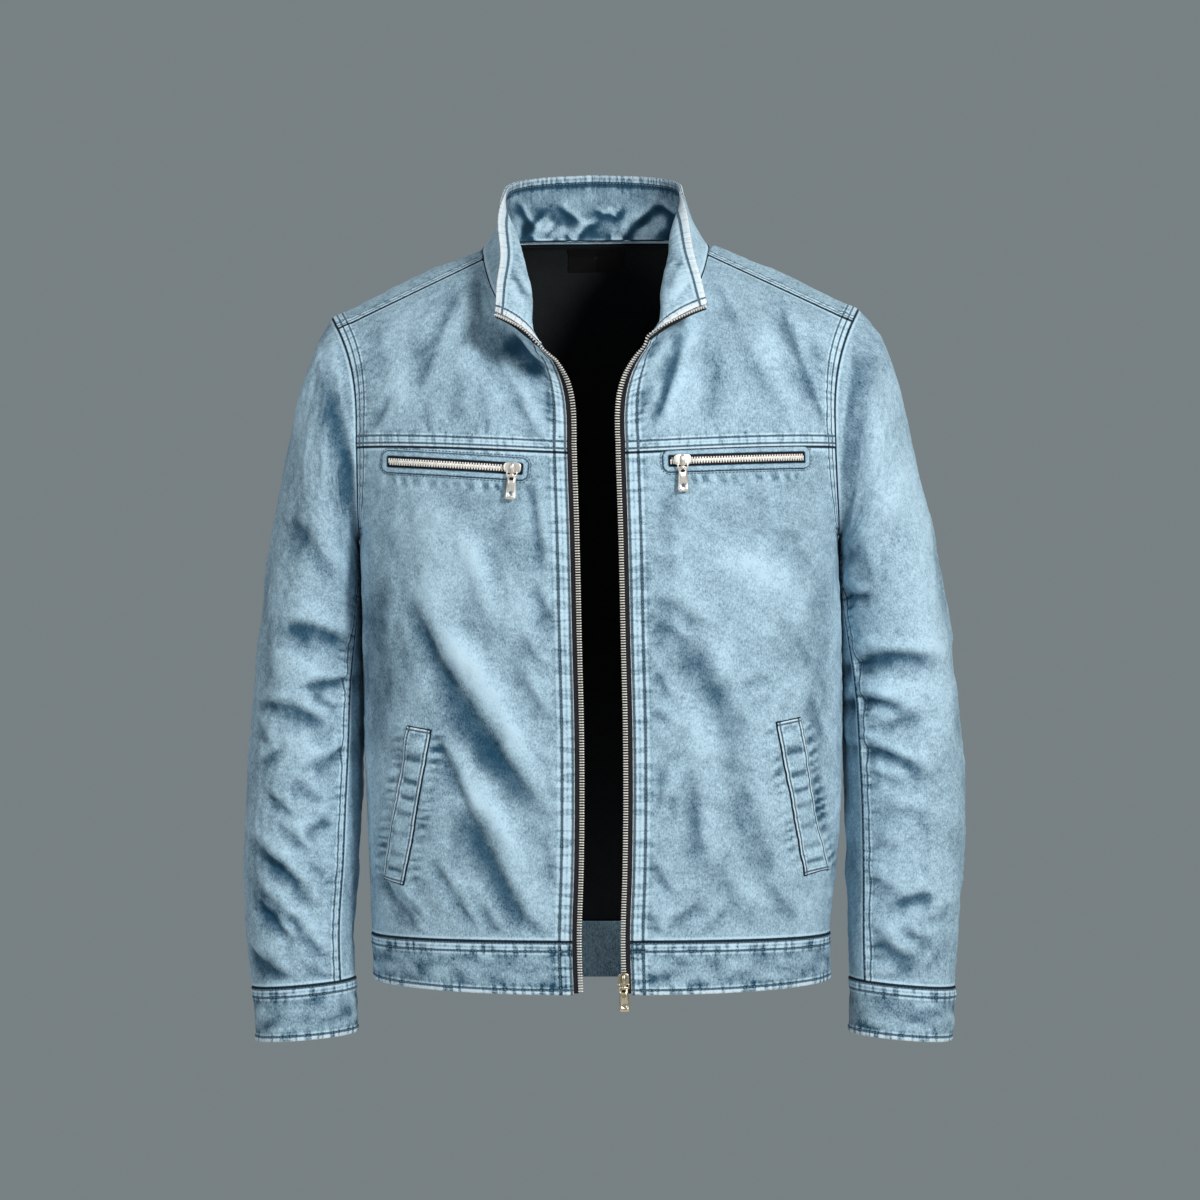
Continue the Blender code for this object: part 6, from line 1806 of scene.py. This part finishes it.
def pull(name, finish, slot, body, node):
    """Pull tab: a narrow neck, a broad blade and a squared hole, on a rolled eye round the pin.

    A small near-black piece below the pin paints the shadow inside the eye.
    """
    half = np.concatenate([PULL_OUTLINE, PULL_OUTLINE[::-1] * (-1, 1)])
    closed = np.concatenate([half, half[:1]])
    outline = through(np.arange(len(closed)), closed, np.linspace(0, len(closed) - 1, 73)[:-1])
    width, height, centre = PULL_HOLE
    turn = np.arctan2(outline[:, 1] - centre, outline[:, 0])
    hole = np.stack([width / 2 * np.cos(turn), centre + height / 2 * np.sin(turn)], -1)
    around = np.linspace(-0.9 * math.pi, 0.9 * math.pi, 20)
    roll = np.stack([0 * around, EYE_RADIUS * np.sin(around), EYE_RADIUS * np.cos(around)], -1)
    eye = stretched(hoop(roll, np.array([1.0, 0, 0]), BAR_RADIUS), EYE_STRETCH)
    tab = plate(outline, hole, PULL_THICK, PULL_BEVEL)
    plain_object(name, *set_in(together([tab, eye]), pull_frames()[body]), finish, (node,), slot, body)
    # Painted shadow inside the eye.
    hole_shade_piece = pebble(PULL_HOLE_SHADOW, (0, -0.0006, -0.0030), 0.8)
    plain_object(f"{node}_hole_shadow", *set_in(hole_shade_piece, pull_frames()[body]), HOLE_SHADOW, (), slot, body)


def slider(name, finish, slot, body, node, size, outward):
    """Slider: two rounded plates with a gap for the teeth, a bridge and the pin that holds the pull."""
    place, along, *_ = pull_frames()[body]
    ahead = unit(np.cross(along, -np.array(outward)))
    axes = (place, along, unit(np.cross(ahead, along)), ahead)
    width, depth, height = size
    middle = 0.0020 + height / 2
    arch = np.linspace(0, math.pi, 16)
    bridge = np.stack([0 * arch, -0.0006 - 0.0022 * np.sin(arch), middle + 0.42 * height * np.cos(arch)], -1)
    pin = np.stack([np.linspace(-PIN_HALF, PIN_HALF, 4), np.zeros(4), np.zeros(4)], -1)
    shapes = [
        pebble((width, 0.0013, height), (0, 0.0001, middle), 0.55),
        pebble((width * 0.94, 0.0012, height * 0.96), (0, depth - 0.0020, middle), 0.55),
        pebble((width * 0.30, depth - 0.001, height * 0.5), (0, depth / 2 - 0.001, middle), 0.7),
        stretched(hoop(bridge, np.array([1.0, 0, 0]), BAR_RADIUS), BRIDGE_STRETCH),
        hoop(pin, np.array([0, 1.0, 0]), PIN_RADIUS),
        *(pebble((0.0012, 0.0022, 0.0052), (x, 0, 0.0012), 0.6) for x in (-0.0042, 0.0042)),
    ]
    plain_object(name, *set_in(together(shapes), axes), finish, (node,), slot)


CHEST_SLIDER_SIZE = (0.0150, 0.0036, 0.0094)
FRONT_SLIDER_SIZE = (0.0095, 0.0030, 0.0105)

pocket_rows = []
for label, side in SIDES.items():
    pocket, body = CHEST_POCKETS[label], f"pull_chest_{label}"
    front_zip(label, side)
    chest_welt(label, pocket)
    chest_zip(label, pocket)
    pocket_rows += slot_rows(label, pocket) + hand_pocket(label, HAND_POCKETS[label])
    pull(f"chest_pull_{label}_metal", NICKEL, "nickel", body, f"chest_pull_{label}")
    slider(f"chest_slider_{label}_metal", NICKEL, "nickel", body, f"chest_slider_{label}",
           CHEST_SLIDER_SIZE, (0.13 * side, -1, 0))
pull("zip_pull_metal", BRASS, "brass", "pull_front", "zip_pull")
slider("zip_slider_metal", BRASS, "brass", "pull_front", "zip_slider", FRONT_SLIDER_SIZE, (0.03, -1, 0))
stitches("pocket_stitches", pocket_rows)
frame["nodes"]["neck_label"].material_slots[0].material = LABEL


# ---- camera, light and floor ----
VIEW_DISTANCE = 3.6
VIEW_HEIGHT = -0.3097
VIEW_WIDTH = 1.068
SENSOR = 36
FLOOR_RADIUS, FLOOR_Z, FLOOR_CORNERS = 3, -1.55, 96


def light(name, place, target, size, power, colour):
    """Round area light that looks at a target."""
    data = bpy.data.lights.new(name, "AREA")
    data.shape, data.size, data.energy, data.color = "DISK", size, power, colour
    made = bpy.data.objects.new(name, data)
    made.location = place
    ahead = np.array(target, float) - np.array(place, float)
    tilt = math.acos(-ahead[2] / np.linalg.norm(ahead))
    made.rotation_euler = (tilt, 0, math.atan2(ahead[0], -ahead[1]) + math.pi)
    bpy.context.scene.collection.objects.link(made)


camera = bpy.data.cameras.new("camera")
camera.sensor_width = SENSOR
camera.lens = SENSOR * VIEW_DISTANCE / VIEW_WIDTH
camera.clip_end = 50
viewer = bpy.data.objects.new("camera", camera)
viewer.location = (0, -VIEW_DISTANCE, VIEW_HEIGHT)
viewer.rotation_euler = (math.pi / 2, 0, 0)
bpy.context.scene.collection.objects.link(viewer)
bpy.context.scene.camera = viewer

light("key light", (1.5, -2.4, 0.9), (0, 0, -0.3), 0.6, 78, (1, 0.99, 0.97))
light("fill light", (-2.2, -2.2, 0.5), (0, 0, -0.35), 1.0, 25, (0.97, 0.99, 1))
light("back light", (0.4, 2.6, 1.6), (0, 0, -0.3), 2.0, 50, (1, 1, 1))

world = bpy.data.worlds.new("studio")
world.use_nodes = True
sky = world.node_tree
backdrop = sky.nodes["Background"]
backdrop.inputs["Color"].default_value = (0.188, 0.218, 0.229, 1)
# The camera sees the backdrop; everything else is lit by a paler, weaker room.
room, seen, chosen = (sky.nodes.new("ShaderNode" + kind) for kind in ("Background", "LightPath", "MixShader"))
room.inputs["Color"].default_value = (0.62, 0.66, 0.68, 1)
room.inputs["Strength"].default_value = 0.20
sky.links.new(seen.outputs["Is Camera Ray"], chosen.inputs[0])
sky.links.new(room.outputs[0], chosen.inputs[1])
sky.links.new(backdrop.outputs[0], chosen.inputs[2])
sky.links.new(chosen.outputs[0], sky.nodes["World Output"].inputs[0])
bpy.context.scene.world = world
bpy.context.scene.view_settings.view_transform = "Standard"

floor_mesh = bpy.data.meshes.new("floor")
angle = np.linspace(0, 2 * math.pi, FLOOR_CORNERS, endpoint=False)
rim = np.stack([FLOOR_RADIUS * np.cos(angle), FLOOR_RADIUS * np.sin(angle), 0 * angle + FLOOR_Z], -1)
floor_mesh.from_pydata(rim, [], [list(range(FLOOR_CORNERS))])
floor_finish = Finish("pale floor", roughness=0.8)
floor_finish.set("Base Color", (0.62, 0.63, 0.63, 1))
floor_mesh.materials.append(floor_finish.material)
floor = bpy.data.objects.new("floor", floor_mesh)
bpy.context.scene.collection.objects.link(floor)
